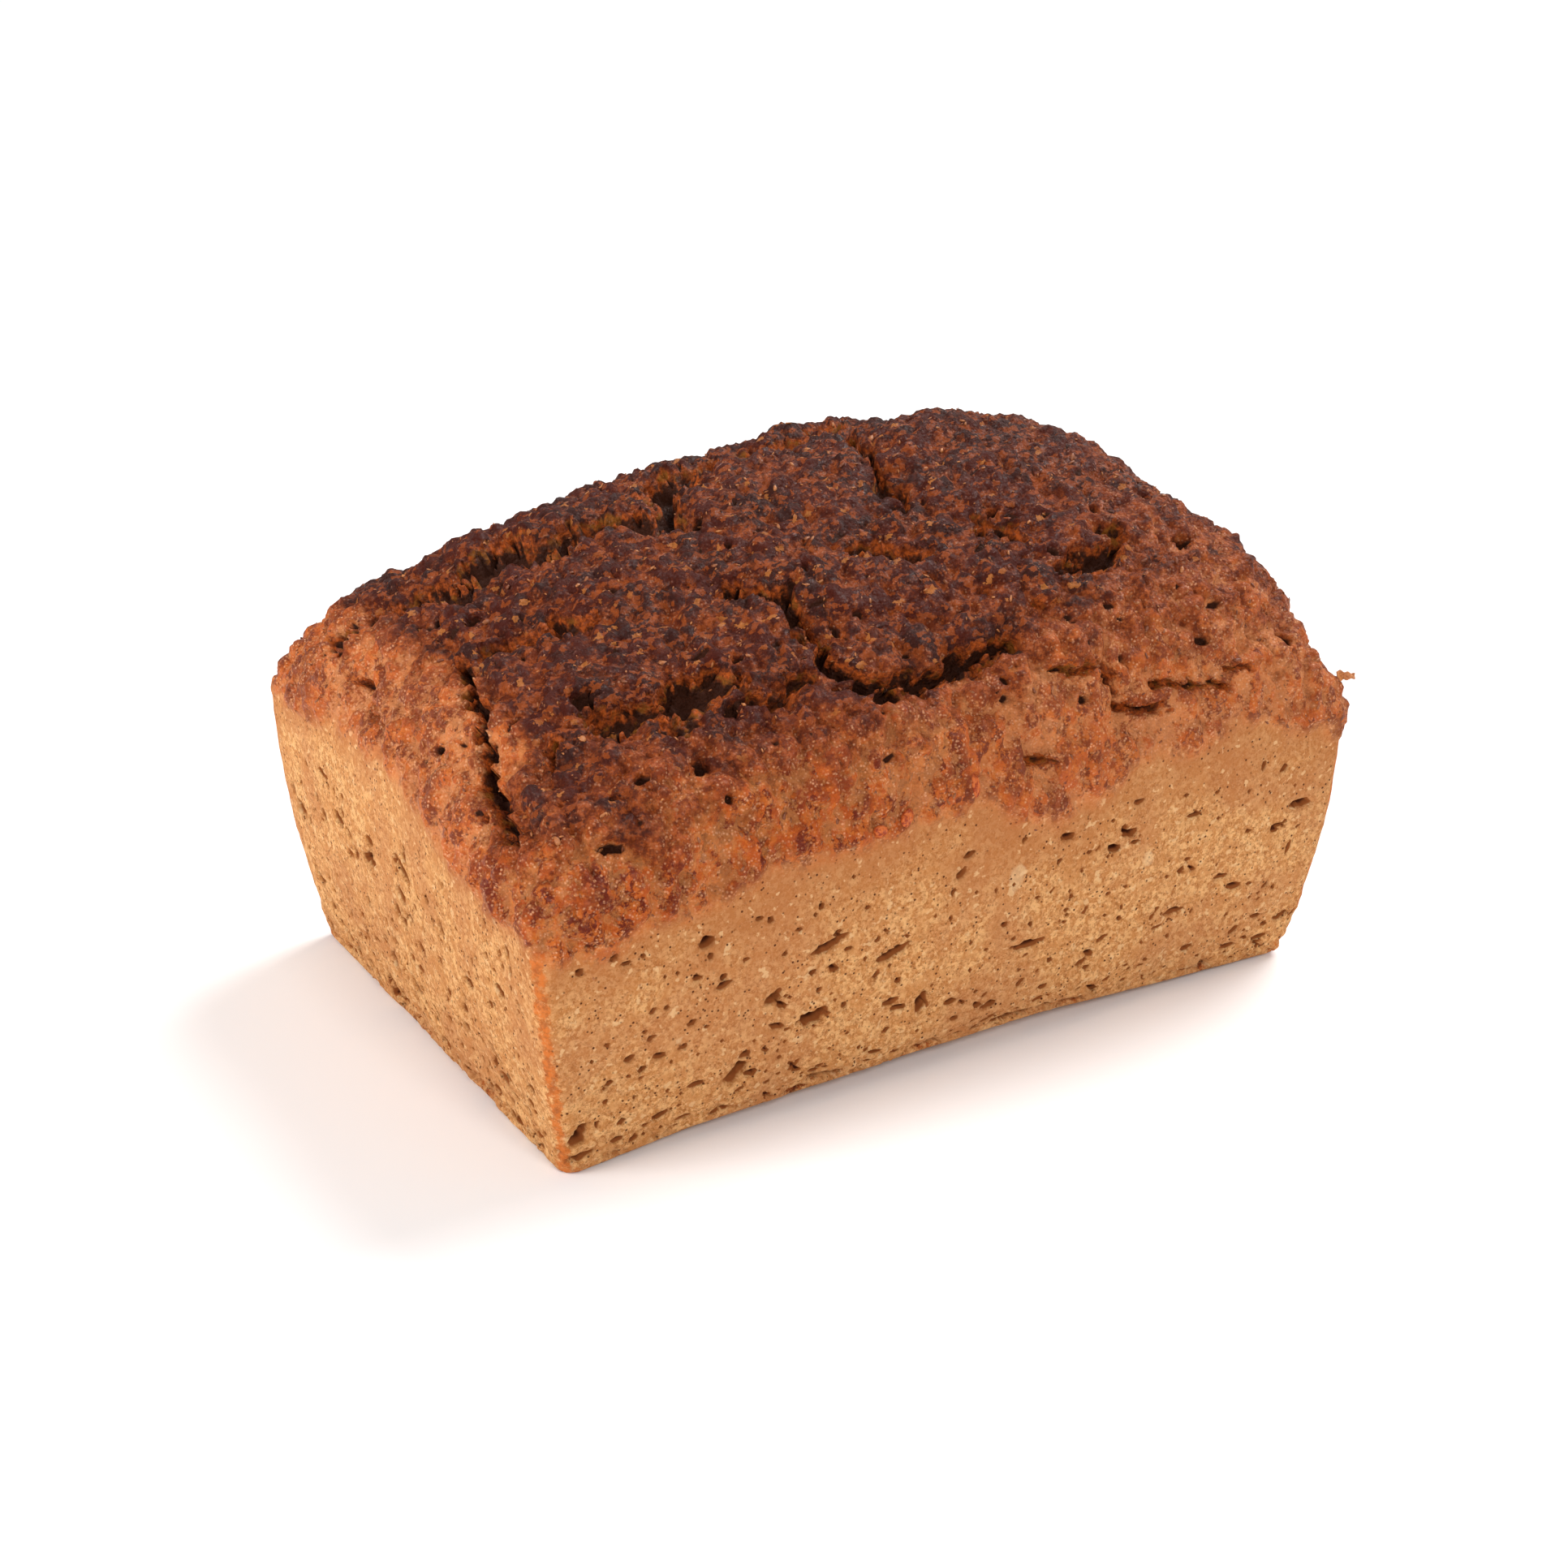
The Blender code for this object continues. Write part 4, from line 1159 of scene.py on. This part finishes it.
class RyeColours(bpy.types.PropertyGroup):
    """Colours of the loaf"""

    wall_light: colour_property("Wall light", "Light grain of the tin walls", 240, 184, 122)
    wall_shade: colour_property("Wall shade", "Dark grain of the tin walls", 160, 94, 46)
    wall_ochre: colour_property("Wall ochre", "Warm mottling of the tin walls", 206, 138, 78)
    wall_toasted: colour_property("Wall toasted", "Broad browner clouds on the tin walls", 188, 118, 72)
    wall_brown: colour_property("Wall brown", "Browning of the walls just under the crust", 182, 110, 60)
    wall_pale: colour_property("Wall pale", "Small starchy spots on the tin walls", 240, 196, 142)
    wall_edge: colour_property("Wall edge", "Orange of the browned corners", 212, 112, 44)
    edge_brown: colour_property("Edge brown", "Brown of the corners and bottom edge", 172, 88, 38)
    edge_dark: colour_property("Edge dark", "Dark toasted crumbs of the bottom edge", 96, 44, 20)
    # Painted shade in the wall's holes: lighter on their sloping sides, darkest at their bottom
    hole_edge_shade: colour_property("Hole wall", "Upper part of the wall's holes", 158, 88, 42)
    hole_shade: colour_property("Hole", "Bottom of the wall's holes", 84, 38, 16)
    starch: colour_property("Starch", "Pale starchy spots on the near wall", 242, 206, 158)
    rim_amber: colour_property("Rim amber", "Glossy lumps of the rim", 182, 82, 27)
    rim_orange: colour_property("Rim orange", "Brighter crumbs on the lumps of the rim", 200, 104, 38)
    # Pale colour of the dry left end, and painted sheen along the right half
    rim_dry: colour_property("Rim dry", "Drier crust, left end and right half", 222, 142, 90)
    # Painted glints on the tips of the rim's crumbs
    rim_glint: colour_property("Rim glint", "Pale dry tips of the rim's crumbs", 232, 168, 124)
    rim_red: colour_property("Rim red", "Redder lumps of the rim", 108, 34, 10)
    rim_tan: colour_property("Rim tan", "Between the lumps of the rim", 214, 142, 82)
    crown_orange: colour_property("Crown orange", "Orange flecks of the crown", 166, 78, 26)
    crown_brown: colour_property("Crown brown", "Warm brown of the crown", 116, 48, 18)
    crown_dark: colour_property("Crown dark", "Dark brown plates of the crown", 72, 22, 8)
    crown_burnt: colour_property("Crown burnt", "Burnt plates of the crown", 54, 20, 12)
    crown_glint: colour_property("Crown glint", "Dull glints on the burnt plates", 146, 98, 84)
    crust_speck: colour_property("Crust speck", "Pale grain in the crust", 196, 126, 62)
    torn_orange: colour_property("Torn crust", "Torn crust beside the cracks", 184, 86, 28)
    torn_brown: colour_property("Torn crust, brown", "Browner torn crust", 118, 52, 20)
    crumb_olive: colour_property("Crumb", "Moist crumb in the cracks", 138, 80, 24)
    # Painted shade deep in the cracks and holes
    deep_shade: colour_property("Deep crumb", "Dark crumb deep in cracks and holes", 58, 26, 11)
    kernel_red: colour_property("Kernel red", "Red-brown of whole kernels", 140, 50, 20)
    kernel_amber: colour_property("Kernel amber", "Amber of whole kernels and the flake", 196, 100, 44)
    bran_pale: colour_property("Bran pale", "Palest bran flecks", 190, 118, 60)
    bran_brown: colour_property("Bran brown", "Brownest bran flecks", 104, 50, 22)


class RyeSizes(bpy.types.PropertyGroup):
    """Numbers and sizes of the scattered bits, and strengths of the lights"""

    flecks: IntProperty(name="Bran flecks", description="Loose bran flecks in the crust",
                        default=3800, min=0)
    fleck_length: FloatProperty(name="Fleck length", description="Usual length of a bran fleck",
                                default=0.0007, unit="LENGTH")
    grains: IntProperty(name="Grain bits", description="Cracked grain in the crust", default=260, min=0)
    grain_length: FloatProperty(name="Grain length", description="Usual length of a cracked grain",
                                default=0.0011, unit="LENGTH")
    room_light: FloatProperty(name="Room light", description="Strength of the even white room",
                              default=0.36)
    back_light: FloatProperty(name="Back light", description="Strength of the broad light from behind",
                              default=3.0)
    left_power: FloatProperty(name="Left light", description="Power of the soft light on the left",
                              default=6.8, unit="POWER")
    front_power: FloatProperty(name="Front light", description="Power of the soft light in front",
                               default=6.0, unit="POWER")


class RYE_OT_loaf(bpy.types.Operator):
    """Make the loaf itself, with its crust, cracks and holes"""

    bl_idname = "rye.loaf"
    bl_label = "Loaf"

    def execute(self, context):
        loaf = make_block()
        shape_loaf(loaf.data)
        triangles = 2 * len(loaf.data.polygons)
        apply_modifier(loaf, "DECIMATE", ratio=min(1.0, TRIANGLES / triangles))
        loaf.data.shade_smooth()
        finish_piece(loaf, loaf_material(context.scene.rye_colours), replaced=[CAD_NODE])
        return {"FINISHED"}


class RYE_OT_bran(bpy.types.Operator):
    """Scatter bran flecks and cracked grain over the crust, and stand the loose flake on its rim"""

    bl_idname = "rye.bran"
    bl_label = "Bran and grain"

    def execute(self, context):
        sizes = context.scene.rye_sizes
        loaf = bpy.data.objects["rye_loaf"]
        crust = read_mark(loaf.data, "crust")
        deep = read_mark(loaf.data, "deep")

        def on_crust(middles, corners):
            return crust[corners].mean(axis=1) * (1 - deep[corners].max(axis=1)) + 1e-9

        material = fleck_material(context.scene.rye_colours)
        for name, count, length, shape, seed in (
                ("bran_flecks", sizes.flecks, sizes.fleck_length, BRAN_SHAPE, BRAN_SEED),
                ("grain_bits", sizes.grains, sizes.grain_length, GRAIN_SHAPE, GRAIN_SEED)):
            spots, normals, draw = surface_samples(loaf, count, seed, on_crust)
            model = start_piece(name + "_model", bpy.ops.mesh.primitive_ico_sphere_add, subdivisions=1,
                                radius=0.5)
            spread = draw.lognormal(0.0, BIT_SPREAD, size=(count, 1)) * np.array(shape) * length
            piece = scatter(name, model, spots, turned_frames(normals, draw), spread, draw)
            finish_piece(piece, material)
        finish_piece(make_flake(), material)
        return {"FINISHED"}


class RYE_OT_kernels(bpy.types.Operator):
    """Press whole kernels into the rim"""

    bl_idname = "rye.kernels"
    bl_label = "Kernels"

    def execute(self, context):
        kernels = []
        for place, size, turn in KERNELS:
            kernels.append(make_kernel(metres(place), metres(size), turn))
        for kernel in kernels:
            kernel.select_set(True)
        bpy.context.view_layer.objects.active = kernels[0]
        bpy.ops.object.join()
        finish_piece(kernels[0], kernel_material(context.scene.rye_colours))
        return {"FINISHED"}


class RYE_OT_stage(bpy.types.Operator):
    """Set the floor, the soft lights and the camera"""

    bl_idname = "rye.stage"
    bl_label = "Stage"

    def execute(self, context):
        sizes = context.scene.rye_sizes
        floor = start_piece("floor", bpy.ops.mesh.primitive_plane_add, size=FLOOR_SIZE, location=(0, 0, 0))
        nodes = Surface("Pale floor")
        nodes.set("Base Color", FLOOR_COLOUR)
        nodes.set("Roughness", 0.9)
        nodes.set("Specular IOR Level", 0.1)
        floor.data.materials.append(nodes.material)
        world = bpy.data.worlds.new("Studio")
        world.use_nodes = True
        room = world.node_tree.nodes["Background"].inputs
        room["Color"].default_value = WHITE
        room["Strength"].default_value = sizes.room_light
        context.scene.world = world
        add_soft_sun("back light", BACK_LIGHT_WAY, BACK_LIGHT_ANGLE, sizes.back_light)
        add_area_light("left light", *LEFT_LIGHT, sizes.left_power)
        add_area_light("front light", *FRONT_LIGHT, sizes.front_power)
        add_camera()
        context.scene.view_settings.view_transform = "Standard"
        return {"FINISHED"}


class RYE_PT_panel(bpy.types.Panel):
    """Lists the steps that make the loaf"""

    bl_label = "Rye loaf"
    bl_idname = "RYE_PT_panel"
    bl_space_type = "VIEW_3D"
    bl_region_type = "UI"
    bl_category = "Rye loaf"

    def draw(self, context):
        for operator in OPERATORS:
            self.layout.operator(operator.bl_idname)
        for group in (context.scene.rye_sizes, context.scene.rye_colours):
            for name in group.bl_rna.properties.keys()[1:]:
                self.layout.prop(group, name)


OPERATORS = (RYE_OT_loaf, RYE_OT_bran, RYE_OT_kernels, RYE_OT_stage)
CLASSES = (RyeColours, RyeSizes, *OPERATORS, RYE_PT_panel)


def register():
    for item in CLASSES:
        bpy.utils.register_class(item)
    bpy.types.Scene.rye_colours = PointerProperty(type=RyeColours)
    bpy.types.Scene.rye_sizes = PointerProperty(type=RyeSizes)


def unregister():
    del bpy.types.Scene.rye_sizes
    del bpy.types.Scene.rye_colours
    for item in reversed(CLASSES):
        bpy.utils.unregister_class(item)


def main():
    register()
    bpy.ops.rye.loaf()
    bpy.ops.rye.bran()
    bpy.ops.rye.kernels()
    bpy.ops.rye.stage()


if __name__ == "__main__":
    main()
